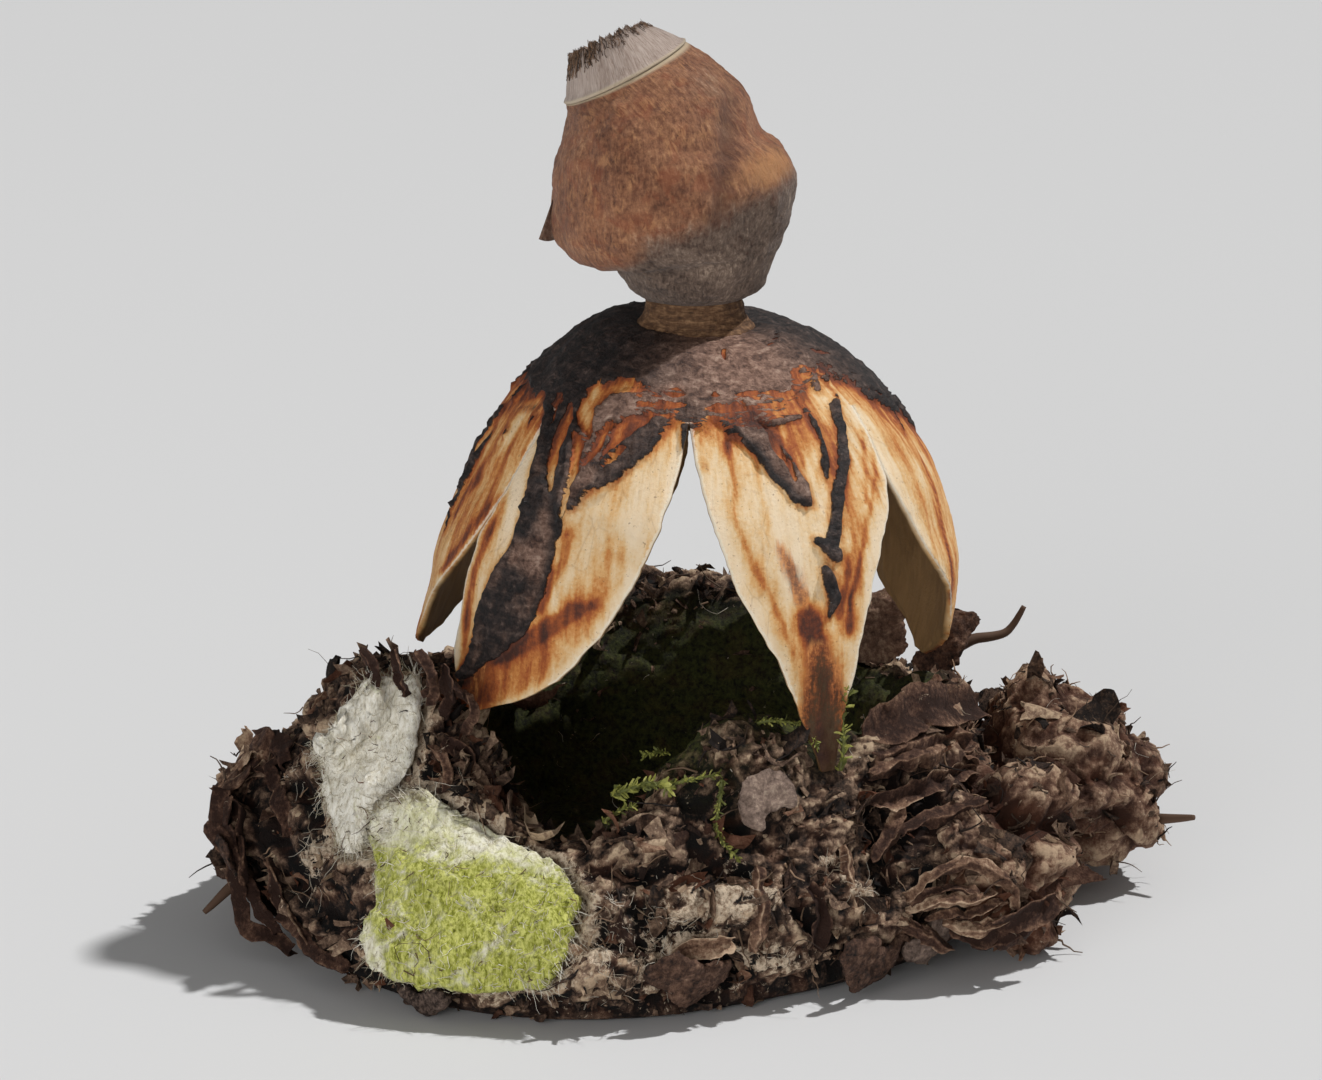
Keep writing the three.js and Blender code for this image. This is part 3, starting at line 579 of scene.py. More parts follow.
def felt_finish():
    """Matted threads: whitish, with a yellow-green growth where the field "green" is high."""
    p = Paint("felt_threads")
    mat = p.noise(p.place(), 0.32, 7.0, 0.74, 0.5)
    lint = p.noise(p.place(1.0, 0.5, 0.25), 0.22, 4.0, 0.7, 1.5)
    patch = p.noise(p.place(), 1.6, 4.0, 0.62, 0.5)
    weave = mat * 0.6 + lint * 0.4
    hang = p.noise(p.place(1.0, 1.0, 0.16), 0.3, 5.0, 0.7, 0.6)
    weave = weave * 0.6 + hang * 0.4
    white = p.ramp(weave, (0.35, 146, 132, 106), (0.44, 216, 208, 188), (0.54, 248, 244, 232))
    green = p.ramp(weave, (0.37, 62, 66, 20), (0.46, 146, 150, 54), (0.55, 208, 208, 118))
    white = p.blend((p.field("tinge") + (patch - 0.5) * 1.5).step(0.6, 1.2) * 0.75, white, p.ramp(
        weave, (0.36, 126, 122, 66), (0.46, 196, 194, 132), (0.56, 234, 232, 190),
    ))
    dim = p.noise(p.place(), 0.9, 5.0, 0.7, 0.8).step(0.54, 0.66)
    green = p.blend(dim * 0.55, green, (84, 84, 30))
    bloom = (p.field("green") + (patch - 0.5) * 2.2 + (mat - 0.5) * 1.2).step(0.2, 0.9)
    colour = p.blend(bloom, white, green)
    specks = p.noise(p.place(1.0, 1.0, 0.5), 0.34, 4.0, 0.65, 0.8).step(0.6, 0.68) * 0.45
    colour = p.blend(specks, colour, (70, 52, 38))
    worn = (p.field("worn") + (patch - 0.5) * 1.4 + (mat - 0.5) * 0.8).step(0.4, 0.75)
    colour = p.blend(worn * 0.8, colour, (88, 68, 50))
    return p.finish(colour, 0.92, weave, 0.2, sheen=0.1, gloss=0.15)


def moss_finish():
    p = Paint("moss_leaf")
    fine = p.noise(p.place(), 0.6, 4.0, 0.6)
    pick = p.field("shade") * 0.7 + fine * 0.4
    colour = p.ramp(
        pick, (0.15, 44, 46, 20), (0.45, 92, 96, 40), (0.75, 150, 150, 70), (0.95, 204, 198, 120),
    )
    return p.finish(colour, 0.6, fine, 0.08, gloss=0.4)


def thread_finish(name, dark, light, roughness=0.8):
    p = Paint(name)
    colour = p.ramp(p.field("shade"), (0.0, *dark), (1.0, *light))
    return p.finish(colour, roughness)


# ---- the arch ------------------------------------------------------------------------------------

DOME_TOP, DOME_RISE, DOME_RADIUS, DOME_POWER = 39.8, 19.8, 17.15, 2.15
NOTCH_RADIUS = 11.6
DISC_DIP, DISC_DIP_RADIUS = 1.3, 3.8
SWELL, SWELL_RADIUS, SWELL_WIDTH, SWELL_BEARING = 0.8, 6.5, 3.2, 135
SKIN, SKIN_EDGE = 1.1, 0.55


def arch_height(radius):
    share = np.minimum(radius / DOME_RADIUS, 1) ** DOME_POWER
    return DOME_TOP - DOME_RISE + DOME_RISE * (1 - share) ** (1 / DOME_POWER)


def dome_height(radius, bearing):
    side = 0.5 + 0.5 * np.cos(np.radians(bearing - SWELL_BEARING))
    swell = SWELL * side * hill((radius - SWELL_RADIUS, SWELL_WIDTH))
    return arch_height(radius) + swell - DISC_DIP * hill((radius, DISC_DIP_RADIUS))


NOTCH_HEIGHT = float(dome_height(np.array(NOTCH_RADIUS), 0.0))
# Each ray from its notch to its tip: height, distance from the axis, bearings of its two edges.
RAYS = {
    "right": [
        (NOTCH_HEIGHT, NOTCH_RADIUS, -32, 39), (31, 14.8, -35, 37.5), (26, 16.7, -28, 39),
        (22.5, 17.2, -17, 43), (19, 16.8, -10, 40), (15.8, 15.8, 11, 17),
    ],
    "rear_right": [
        (NOTCH_HEIGHT, NOTCH_RADIUS, 39, 86), (31, 15.0, 41.5, 84), (26, 16.9, 45, 80),
        (21.5, 17.2, 50, 75), (18, 17.0, 56, 70), (15.2, 16.8, 61, 65),
    ],
    "rear_left": [
        (NOTCH_HEIGHT, NOTCH_RADIUS, 86, 140), (31, 15.0, 91.5, 136), (26, 16.9, 92, 124),
        (21.5, 17.4, 98, 119), (18.5, 17.4, 103.5, 114.5), (15.8, 17.4, 110, 114),
    ],
    "left": [
        (NOTCH_HEIGHT, NOTCH_RADIUS, 140, 218), (31, 14.2, 143, 215), (25.5, 16.7, 148, 204),
        (21.5, 17.7, 146.5, 189), (18.6, 18.5, 148.5, 183), (17.0, 18.8, 158, 172),
    ],
    "front_left": [
        (NOTCH_HEIGHT, NOTCH_RADIUS, 218, 267), (31, 15.0, 217, 262.8), (26, 16.8, 211, 255.8),
        (21, 17.6, 209, 244.7), (18.3, 18.1, 210.5, 233.5), (16.4, 18.3, 214, 219),
    ],
    "front_right": [
        (NOTCH_HEIGHT, NOTCH_RADIUS, 267, 328), (31, 15.0, 271.6, 323), (26, 16.9, 277.7, 312),
        (21, 17.5, 286.8, 305.2), (17, 17.5, 292.2, 301.2), (13.6, 17.5, 296.5, 299.5),
    ],
}
# Columns of points across each ray, and how rusty its skin is.
RAY_GRAIN = dict(right=54, rear_right=22, rear_left=22, left=48, front_left=84, front_right=84)
RAY_WARMTH = dict(right=0.42, rear_right=0.3, rear_left=0.3, left=0.46, front_left=0.15, front_right=0.15)
DOME_ROWS, RAY_ROWS = 36, 100

# A distance to the rim past which it no longer matters, and the radius at which bearings become millimetres.
FAR, GIRTH = 9.0, 14
# Where the fleshy layer has come off last, the side where its flesh is painted lit, and where the pattern's
# seam lies.
FRESH_BEARING, FRESH_WIDTH, SEAM_BEARING = 292, 42, 88

# The common meridian, for distances measured over the skin.
DOME_STEPS = 40
BELOW_R, BELOW_Z = [13.6, 15, 16, 16.8, 17.3, 17.5, 17.5, 17.5], [33.1, 31, 29, 26.2, 23, 20, 17, 13]
MERIDIAN_R = np.concatenate([np.linspace(0, NOTCH_RADIUS, DOME_STEPS), BELOW_R])
MERIDIAN_Z = np.concatenate([arch_height(MERIDIAN_R[:DOME_STEPS]), BELOW_Z])
MERIDIAN_M = np.concatenate([[0], np.cumsum(np.hypot(np.diff(MERIDIAN_R), np.diff(MERIDIAN_Z)))])

# How far the fleshy layer reaches down from the top, as a radius for every fifteen degrees of bearing.
FLESH_REACH = [
    13.2, 12.6, 11.6, 11.9, 12.6, 11.6, 11.4, 12.2, 12.0, 11.5, 11.2, 11.6,
    11.2, 11.5, 11.3, 10.4, 9.7, 10.4, 11.6, 11.3, 11.1, 10.0, 9.6, 11.6,
]
# Strips of the fleshy layer that cling to the rays: bearing, height and half width along each.
FLESH_STRIPS = [
    [(209, 36, 0.25), (219, 34.5, 0.33), (224, 32.9, 0.4), (225, 32.3, 0.6), (227, 31.5, 0.85),
     (229, 30.6, 1.15), (231, 28.8, 1.75), (230, 26.7, 1.95), (229, 25.6, 2.15), (227.5, 24.6, 2.3),
     (225.5, 23.5, 2.25), (223, 22.4, 1.95), (221, 21.2, 1.45), (218, 20.1, 1), (216, 19, 0.65),
     (213, 18.2, 0.3)],
    [(232, 33.5, 0.35), (234, 31.8, 0.45), (236, 30, 0.42), (237, 28.5, 0.3)],
    [(266, 35.7, 0.35), (258, 35.2, 0.7), (254, 34.2, 0.87), (249, 33.1, 1.05), (245, 32.2, 0.96),
     (241, 31.4, 0.6), (239, 30.2, 0.35)],
    [(261, 36.6, 0.78), (252, 36.2, 0.9), (243, 35.8, 1.1), (239, 35, 1.2), (238, 33.5, 1.2), (239, 32, 1),
     (237, 30.9, 0.55)],
    [(223, 36, 1), (228, 34.3, 1.2), (232, 32.2, 0.9), (233, 30.7, 0.6)],
    [(275, 35.9, 0.5), (285, 35.6, 0.6), (295, 35.2, 0.55), (303, 35.3, 0.35)],
    [(283, 34.9, 0.38), (290, 34, 0.71), (293, 32.7, 0.82), (296, 31.5, 0.6), (297, 30.7, 0.22)],
    [(276, 35.4, 0.27), (283, 34.6, 0.44), (288, 33.3, 0.45), (291, 32, 0.45), (294, 31, 0.41),
     (297, 30.5, 0.22)],
    [(307, 35.6, 0.22), (307, 34.5, 0.25), (306, 33.1, 0.25), (304, 31.8, 0.14)],
    [(325, 36.6, 0.45), (319, 35.3, 0.5), (315, 34, 0.5), (311, 32.5, 0.5), (306, 31, 0.46),
     (303, 29.4, 0.46), (301, 28.1, 0.48)],
    [(297, 28.4, 0.27), (299, 27.9, 0.49), (301, 27.4, 0.49)],
    [(298, 26.6, 0.22), (299, 25.8, 0.44), (300, 24.7, 0.44), (298, 23.7, 0.22)],
    [(302, 35.8, 0.14), (309, 36.3, 0.18), (317, 36.9, 0.22), (327, 36.9, 0.2), (335, 36.3, 0.2)],
    [(343, 36.3, 0.2), (339, 35.5, 0.34), (346, 34.7, 0.34), (356, 33.5, 0.24)],
    [(191, 32.5, 0.2), (189, 30, 0.3), (187, 27.6, 0.28), (188, 25.9, 0.2)],
    [(186, 33.6, 0.4), (183, 32.2, 0.3), (182, 30.6, 0.4), (184, 28.6, 0.2)],
    [(20, 34, 0.4), (24, 30, 0.7), (26, 26, 0.5)],
    [(60, 35, 0.5), (66, 31, 0.9), (66, 27, 0.8), (64, 23, 0.4)],
    [(112, 35, 0.5), (108, 31, 0.8), (110, 27, 1.1), (108, 23, 0.5)],
    [(150, 34.5, 0.4), (156, 31, 0.7), (162, 27, 0.4)],
]
# Cracks in the fleshy layer that let the skin show.
FLESH_CRACKS = [
    [(227, 36.4, 0.09), (233, 36.3, 0.3), (242, 36.7, 0.28), (245, 36.8, 0.19), (251, 36.8, 0.07)],
    [(228, 35.8, 0.12), (231, 35.4, 0.54), (233, 35, 0.6), (235, 34.5, 0.4), (237, 34.1, 0.07)],
    [(224, 35.6, 0.12), (227, 34.7, 0.45), (228, 33.6, 0.42), (229, 32.5, 0.41), (230, 31.6, 0.3),
     (232, 30.8, 0.09)],
    [(232, 34.1, 0.12), (235, 33.5, 0.42), (236, 32.7, 0.34), (237, 32, 0.28), (237, 31.3, 0.22),
     (237, 29.5, 0.14)],
    [(255, 35.6, 0.1), (252, 35.3, 0.37), (249, 35.1, 0.37), (246, 34.7, 0.3), (244, 34.3, 0.1)],
    [(243, 34.9, 0.17), (241, 34.2, 0.36), (241, 33.6, 0.38), (240, 33, 0.28), (239, 32.5, 0.09)],
    [(247, 36.2, 0.07), (251, 36.1, 0.16), (255, 36.1, 0.21), (260, 36.1, 0.23), (265, 36.1, 0.09)],
    [(249, 33.6, 0.09), (247, 33.2, 0.21), (245, 32.7, 0.09)],
    [(258, 36.7, 0.07), (263, 36.7, 0.17), (268, 36.8, 0.07)],
    [(216, 35.9, 0.12), (220, 35.6, 0.1)],
    [(283, 36.6, 0.07), (288, 36.6, 0.28), (293, 36.5, 0.23)],
    [(293, 36.5, 0.11), (297, 36.5, 0.15), (302, 36.3, 0.07)],
    [(301, 36, 0.08), (304, 36.2, 0.36), (307, 36.5, 0.16)],
    [(273, 35.7, 0.07), (277, 35.8, 0.2), (281, 35.8, 0.13), (285, 35.9, 0.2), (287, 35.8, 0.05)],
    [(284, 35.4, 0.07), (287, 35.2, 0.25), (290, 34.9, 0.16)],
    [(294, 35.4, 0.07), (297, 35.4, 0.21), (302, 35.5, 0.25), (304, 35.6, 0.25)],
    [(272, 36.8, 0.05), (276, 36.7, 0.18), (278, 36.8, 0.07)],
    [(291, 34.6, 0.08), (292, 34.3, 0.28), (292, 33.8, 0.28), (293, 33.2, 0.18), (294, 32.7, 0.07)],
    [(297, 34.1, 0.07), (297, 33.7, 0.15), (297, 33.2, 0.1)],
    [(295, 33.1, 0.07), (295, 32.5, 0.18), (295, 32, 0.15)],
    [(308, 36.6, 0.18), (314, 37, 0.34), (320, 37.2, 0.16)],
    [(311, 35.3, 0.28), (318, 35.9, 0.5), (327, 36.4, 0.34)],
    [(338, 38, 0.1), (342, 37.8, 0.2), (350, 37.5, 0.1)],
    [(343, 37, 0.12), (345, 36.4, 0.24), (347, 35.8, 0.14)],
    [(329, 37.3, 0.1), (333, 37.2, 0.2), (338, 37.1, 0.1)],
    [(285, 38.8, 0.12), (283, 38.3, 0.1)],
    [(338, 39, 0.12), (315, 38.7, 0.1)],
    [(30, 36.5, 0.1), (40, 36.8, 0.25), (50, 36.5, 0.15)],
    [(120, 36.8, 0.1), (130, 36.6, 0.25), (140, 36.9, 0.15)],
]
# Rusty streaks on the skin, and browner patches.
RUST_STREAKS = [
    [(278, 34.1, 0.12), (279, 32.3, 0.12), (278, 30, 0.12), (280, 28.3, 0.1), (283, 26.5, 0.12),
     (287, 23.9, 0.12), (289, 21.7, 0.16)],
    [(324, 32.5, 0.1), (317, 30.6, 0.14), (311, 28.6, 0.14), (307, 26.5, 0.14), (304, 24.5, 0.14),
     (303, 22.5, 0.2)],
    [(324, 33.7, 0.06), (318, 32, 0.08), (313, 30, 0.08)],
    [(305, 27.1, 0.2), (303, 25.7, 0.2), (301, 23.6, 0.2)],
    [(293, 23.9, 0.55), (294, 23.1, 0.71), (295, 22.3, 0.55)],
    [(216, 28.3, 0.2), (215, 26.6, 0.3), (213, 24.9, 0.3), (213, 23.2, 0.3), (212, 20.3, 0.24)],
    [(240, 28.6, 0.38), (239, 27, 0.29), (237, 25.4, 0.25), (235, 23.7, 0.21)],
    [(225, 20.4, 0.5), (231, 21.4, 0.5), (238, 22.9, 0.55), (243, 24, 0.5), (247, 24.5, 0.25)],
    [(259, 28.9, 0.14), (258, 28, 0.16), (257, 26.9, 0.1)],
    [(200, 31.9, 0.3), (198, 30.4, 0.45), (193, 28.8, 0.45), (192, 27.1, 0.3)],
    [(211, 29.3, 0.2), (206, 27.4, 0.3), (201, 25.4, 0.3), (194, 23.5, 0.2)],
    [(348, 30.6, 0.1), (346, 27.9, 0.14), (344, 25.4, 0.16), (344, 22, 0.2)],
    [(18, 31, 0.4), (20, 27, 0.5), (22, 23, 0.4)],
    [(58, 30, 0.5), (60, 25, 0.6)],
    [(110, 30, 0.5), (106, 25, 0.6)],
]
# Purplish brown patches where the skin is rubbed and wet.
DUSKY_PATCHES = [
    [(288, 28.1, 0.33), (290, 26.8, 0.6), (292, 25, 0.55)],
    [(295, 21.2, 0.9), (296, 19.6, 1.4), (297, 17.6, 1.6), (297, 15.7, 1.5), (298, 13.7, 1.2)],
    [(223, 20.6, 0.3), (220, 19, 0.5), (217, 17.4, 0.5)],
    [(214, 35.1, 0.4), (207, 34.7, 0.5), (197, 34.4, 0.3)],
]
# Broad tan patches.
TAN_PATCHES = [
    [(216, 19.6, 0.6), (223, 20, 0.8), (232, 21.2, 0.9), (240, 22.6, 0.6)],
    [(310, 34, 0.2), (308, 30, 0.2), (305, 26, 0.2), (303, 23, 0.3)],
    [(216, 30, 0.1), (213, 26, 0.2), (211, 22, 0.3)],
    [(214, 17.6, 0.8), (222, 18.6, 1.1), (230, 19.8, 1.1), (238, 21.4, 0.8)],
    [(252, 27.6, 0.5), (247, 25.2, 0.8), (241, 22.8, 1)],
    [(222, 34.8, 0.8), (232, 33.4, 1.2), (240, 33.4, 1.2), (250, 35, 0.8)],
    [(288, 34.6, 0.6), (296, 33.8, 0.8), (304, 34.6, 0.5)],
    [(294, 23.4, 0.7), (296, 20, 1.2), (297, 16, 1.4)],
]
# Bands where the skin has stayed paler.
PALE_BANDS = [
    [(330, 34.5, 0.3), (327, 32, 0.5), (329, 29, 0.5), (332, 26.5, 0.3)],
    [(205, 34.5, 0.5), (203, 32.5, 0.5), (199, 30.4, 0.2)],
]


def over_skin(strokes, bearing, radius, reach):
    """How deep each point of the skin lies inside a set of strokes, in millimetres; negative outside."""
    best = np.full(len(bearing), -FAR)
    for stroke in strokes:
        at = np.array(stroke, float)
        reach_at = np.interp(-at[:, 1], -MERIDIAN_Z, MERIDIAN_M)
        for (b0, _, w0), (b1, _, w1), m0, m1 in zip(at, at[1:], reach_at, reach_at[1:]):
            x0 = radius * np.radians(signed(b0 - bearing))
            x1 = x0 + radius * np.radians(signed(b1 - b0))
            y0, y1 = m0 - reach, m1 - reach
            dx, dy = x1 - x0, y1 - y0
            t = np.clip(-(x0 * dx + y0 * dy) / np.maximum(dx * dx + dy * dy, 1e-9), 0, 1)
            distance = np.hypot(x0 + t * dx, y0 + t * dy)
            best = np.maximum(best, w0 + t * (w1 - w0) - distance)
    return best


def ray_surface(stations, along, across):
    """Points on a ray's outer face: along 0..1 over the dome and 1..2 down to the tip, across -1..1."""
    stations = np.array(stations, float)
    side = (across + 1) / 2
    on_dome = along <= 1
    bearing = stations[0, 2] + side * (stations[0, 3] - stations[0, 2])
    radius = np.minimum(along, 1) * NOTCH_RADIUS
    dome = polar(bearing, radius, dome_height(radius, bearing))
    s = np.clip(along - 1, 0, 1)
    z, far, low, high = (spline(stations[:, k], s) for k in range(4))
    blend = np.minimum(s * 4, 1)
    height = dome_height(np.minimum(far, DOME_RADIUS), 0.0) * (1 - blend) + z * blend
    hanging = polar(low + side * (high - low), far, height)
    return np.where(on_dome[:, None], dome, hanging)


def quads_between(numbers):
    """Quads between rows of numbered points."""
    corners = [numbers[:-1, :-1], numbers[1:, :-1], numbers[1:, 1:], numbers[:-1, 1:]]
    return np.stack(corners, -1).reshape(-1, 4)


def star_grid():
    """The skin's outer face without its relief: points, quads, the triangles at the top, each ray's rim.

    Then for each point: distance to the rim, share of the way down its ray, rustiness, and 1 on the dome.
    """
    rows = [np.arange(1, DOME_ROWS + 1) / DOME_ROWS, 1 + np.arange(1, RAY_ROWS + 1) / RAY_ROWS]
    rows = np.concatenate(rows)
    blocks = [(polar(0.0, 0.0, dome_height(np.array(0.0), 0.0)).reshape(1, 3), FAR, 0.0, 0.2, 1.0)]
    count, rings = 1, []
    for name, n in RAY_GRAIN.items():  # the dome's share of each ray, without its last column
        along, across = np.meshgrid(rows[:DOME_ROWS], 2 * np.arange(n) / n - 1, indexing="ij")
        block = ray_surface(RAYS[name], along.ravel(), across.ravel())
        blocks.append((block, FAR, 0.0, RAY_WARMTH[name], 1.0))
        rings.append(count + np.arange(along.size).reshape(along.shape))
        count += along.size
    joined = np.concatenate([*rings, rings[0][:, :1]], axis=1)
    first = joined[0]
    triangles = np.stack([np.zeros(len(first) - 1, int), first[:-1], first[1:]], -1)
    quads, rims, start = [quads_between(joined)], [], 0
    for k, (name, n) in enumerate(RAY_GRAIN.items()):
        spread = np.linspace(-1, 1, n + 1)
        along, across = np.meshgrid(rows[DOME_ROWS:], spread, indexing="ij")
        block = ray_surface(RAYS[name], along.ravel(), across.ravel()).reshape(RAY_ROWS, n + 1, 3)
        # Torn edges wander a little, below the notch.
        sideways = block[:, -1] - block[:, 0]
        width = np.linalg.norm(sideways, axis=1, keepdims=True)
        sideways = sideways / np.maximum(width, 1e-6)
        ease = smooth(rows[DOME_ROWS:] - 1, 0.05, 0.2) * np.minimum(width[:, 0] / 3, 1)
        for end, side in ((0, -1), (-1, 1)):
            wander = 0.26 * rough(block[:, end], 1.6, 3, 5 + k) * ease
            weight = np.abs(spread) ** 5 * (spread * side > 0)
            block = block + (wander[:, None] * weight)[..., None] * sideways[:, None]
        reach = np.concatenate([[0], np.cumsum(np.linalg.norm(np.diff(block[:, n // 2], axis=0), axis=1))])
        to_edge = (1 - np.abs(across)) * width / 2
        rim = np.minimum(to_edge, (reach[-1] - reach)[:, None]).ravel()
        blocks.append((block.reshape(-1, 3), rim, (along - 1).ravel(), RAY_WARMTH[name], 0.0))
        numbers = count + np.arange(across.size).reshape(across.shape)
        numbers = np.concatenate([joined[-1:, start:start + n + 1], numbers])
        quads.append(quads_between(numbers))
        rims.append(np.concatenate([numbers[:, 0], numbers[-1, 1:], numbers[::-1, -1][1:]]))
        count += across.size
        start += n
    points, *measures = (
        np.concatenate([np.broadcast_to(block[k], block[0].shape[:2 if k == 0 else 1]) for block in blocks])
        for k in range(5)
    )
    return points, np.concatenate(quads), triangles, rims, measures


def skin_marks(points, bearing, radius, reach, rim, tip, warmth):
    """What the skin's finish reads: depth in the fleshy layer, rust, duskiness, netting, and paleness that is
    partly painted light and shade.
    """
    ragged = 0.45 * rough(points, 1.5, 3, 21) + 0.16 * rough(points, 0.5, 2, 22)
    shifted = bearing + np.degrees((0.17 * rough(points, 1.2, 2, 31)) / np.maximum(radius, 1))
    shifted_reach = reach + 0.15 * rough(points, 1.2, 2, 32)

    def rough_marks(strokes):
        return over_skin(strokes, shifted, radius, shifted_reach)

    def clean_marks(*strokes):
        return over_skin(strokes, bearing, radius, reach)

    fresh_lit_side = hill((signed(bearing - FRESH_BEARING), FRESH_WIDTH))
    top_edge = np.interp(spline(FLESH_REACH, bearing / 360, closed=True), MERIDIAN_R, MERIDIAN_M)
    top_edge = top_edge + 1.1 * bumps(points * (1, 1, 0.3), 2.4, 8)
    flesh = top_edge - shifted_reach + ragged
    net = fresh_lit_side * hill((flesh - 0.2, 1.2)) + 0.25 * smooth(clean_marks(*FLESH_STRIPS[2:4]), -0.1, 0.4)
    below = np.maximum(reach - top_edge, 0)
    # Fine dark lines run down from the fleshy layer.
    lines = rough(np.stack([np.radians(bearing) * GIRTH, reach * 0.22, 0.3 * reach], -1), 0.62, 2, 91)
    flesh = np.maximum(flesh, (lines - 0.16 - 0.15 * below) * 1.1)
    flesh = np.maximum(flesh, rough_marks(FLESH_STRIPS) + 0.3 * ragged)
    flesh = np.minimum(flesh, -1.3 * rough_marks(FLESH_CRACKS) - 0.12 * ragged)
    rust = rough_marks(RUST_STREAKS) + 0.25 * ragged
    dusk = rough_marks(DUSKY_PATCHES) + 0.5 * ragged + 1.6 * smooth(points[:, 2], 18.5, 14.5) * (fresh_lit_side > 0.9)
    warm = warmth + 0.42 * np.exp(-below / 2.8)
    warm = warm + 0.16 * smooth(rust, -0.8, 0.0) + 0.24 * smooth(rust, -0.2, 0.12)
    warm = warm + 0.26 * smooth(flesh, -0.6, 0.0)
    warm = warm + 0.14 * smooth(tip, 0.45, 0.75) + 0.25 * smooth(tip, 0.75, 1.0)
    warm = warm - 0.15 * smooth(rim, 1.0, 0.2) * (tip < 0.9)
    warm = warm + 0.4 * smooth(rough_marks(TAN_PATCHES) + 0.8 * ragged, -1.4, 0.5)
    warm = warm - 0.25 * smooth(rough_marks(PALE_BANDS), -0.6, 0.1)
    dusty = smooth(rough(points, 1.6, 3, 49), -0.3, 0.35)
    # Painted light and shade: the flesh near the top is painted paler on the lit front-right side and darker
    # elsewhere, where shade falls. The strips added below are paler in their own colour.
    pale = smooth(reach, 14.0, 10.5) * (1.1 * fresh_lit_side - 0.08)
    pale = pale + 0.75 * dusty * smooth(clean_marks(FLESH_STRIPS[0]), 0.0, 0.9)
    pale = pale + 0.6 * smooth(clean_marks(FLESH_STRIPS[3], *FLESH_STRIPS[5:7]), -0.3, 0.3)
    pale = pale + 0.2 * smooth(clean_marks(FLESH_STRIPS[2]), 0, 0.5)
    return {"flesh": flesh, "warm": warm, "dusk": dusk, "net": net, "pale": pale}


def make_star():
    points, quads, triangles, rims, (rim, tip, warmth, on_dome) = star_grid()
    normals = normals_of(points, quads)
    normals[0] = (0, 0, 1)
    bearing = np.degrees(np.arctan2(points[:, 1], points[:, 0])) % 360
    radius = np.hypot(points[:, 0], points[:, 1])
    reach = np.where(
        on_dome > 0.5,
        np.interp(radius, MERIDIAN_R[:DOME_STEPS], MERIDIAN_M[:DOME_STEPS]),
        np.interp(-points[:, 2], -MERIDIAN_Z, MERIDIAN_M),
    )
    marks = skin_marks(points, bearing, radius, reach, rim, tip, warmth)
    # The fleshy layer is cracked, wrinkled and knobbly, with a lip at its edge; the bare skin is furrowed.
    flesh = marks["flesh"]
    lift = smooth(flesh, -0.08, 0.25)
    crust = ridged(points * (1, 1, 0.7), 1.3, 4, 41)
    wrinkle = ridged(np.stack([np.radians(bearing) * 9 * 0.35, reach, 0.1 * points[:, 0]], -1), 0.9, 3, 43)
    nubs = pebbles(points * (1, 1, 0.85), 0.6, 47)[0] * smooth(reach, 11, 16)
    furrow = rough(np.stack([np.radians(bearing) * GIRTH, reach * 0.14, 0 * reach], -1), 0.8, 3, 51)
    layer = 0.02 + 0.26 * (crust - 0.5) + 0.3 * (wrinkle - 0.5) * smooth(reach, 4, 9) + 0.2 * nubs
    rise = lift * layer + 0.1 * hill((flesh - 0.2, 0.18))
    rise = rise + (1 - lift) * (0.1 * furrow - 0.16) - 0.12 * smooth(reach, 16, 8)
    rise = rise + 0.2 * rough(points, 3.0, 3, 61) * smooth(rim, 0, 1.5)
    outer = points + normals * rise[:, None]
    thick = SKIN + (SKIN_EDGE - SKIN) * np.maximum(smooth(rim, 2.2, 0.0), tip**4)
    inner = points - normals * (thick - 0.1 * rough(points, 1.5, 2, 71))[:, None]
    total = len(points)
    faces = [f.tolist() for sheet in (triangles, quads) for f in (*sheet, *(sheet[:, ::-1] + total))]
    for line in rims:
        faces += [[a, a + total, b + total, b] for a, b in zip(line.tolist(), line[1:].tolist())]
    fields = {key: np.tile(value, 2) for key, value in marks.items()}
    fields["rim"] = np.concatenate([rim + 3 * smooth(tip, 0.7, 0.9), rim + 1])
    fields["under"] = np.repeat([0.0, 1.0], total)
    # The pattern's seam runs down the gap between the two rear rays.
    uv = np.stack([np.radians((bearing - SEAM_BEARING) % 360) * GIRTH, reach], -1)
    piece(
        "star_skin", np.concatenate([outer, inner]), faces, skin_finish(), replaces=["star"],
        fields=fields, uv=np.tile(uv, (2, 1)),
    )


# ---- the spore sac, its mouth and the stalk ------------------------------------------------------

# Sections from the neck to the mouth's border: x and height of the left end, of the right end, half depth.
SAC_SECTIONS = np.array([
    (-3.3, 40.75, 2.9, 40.75, 3.1), (-4.1, 41.3, 3.9, 41.4, 4.0), (-4.9, 42.2, 4.5, 42.5, 4.9),
    (-5.6, 43.2, 5.2, 43.9, 5.8), (-7.3, 43.1, 5.6, 44.8, 6.4), (-8.7, 43.9, 6.0, 45.9, 6.9),
    (-9.3, 45.5, 6.35, 47.5, 7.4), (-9.35, 47.7, 6.35, 49.0, 7.7), (-9.1, 49.8, 5.4, 50.5, 7.5),
    (-8.6, 51.3, 4.1, 51.6, 7.0), (-8.35, 52.2, 3.3, 53.3, 6.5), (-8.3, 52.7, 2.3, 54.9, 5.8),
    (-8.35, 53.0, 0.7, 56.3, 4.9), (-8.4, 53.3, -0.8, 57.2, 4.1),
])
MOUTH_TOP = np.array([-8.05, 56.2, -3.3, 58.3, 2.6])
MOUTH_NOD = 0.7
MOUTH_LEVELS = 26


def section(rows, angle, nod=0.0):
    """Points round one or more sections of the sac at the given angles."""
    left, left_z, right, right_z, depth = np.atleast_2d(rows).T
    level = 0 * depth
    middle = np.stack([(left + right) / 2, level, (left_z + right_z) / 2], -1)[:, None]
    half = np.stack([(right - left) / 2, level, (right_z - left_z) / 2], -1)[:, None]
    side = np.stack([level, depth, level - nod], -1)[:, None]
    return middle + (half * np.cos(angle)[:, None] + side * np.sin(angle)[:, None])


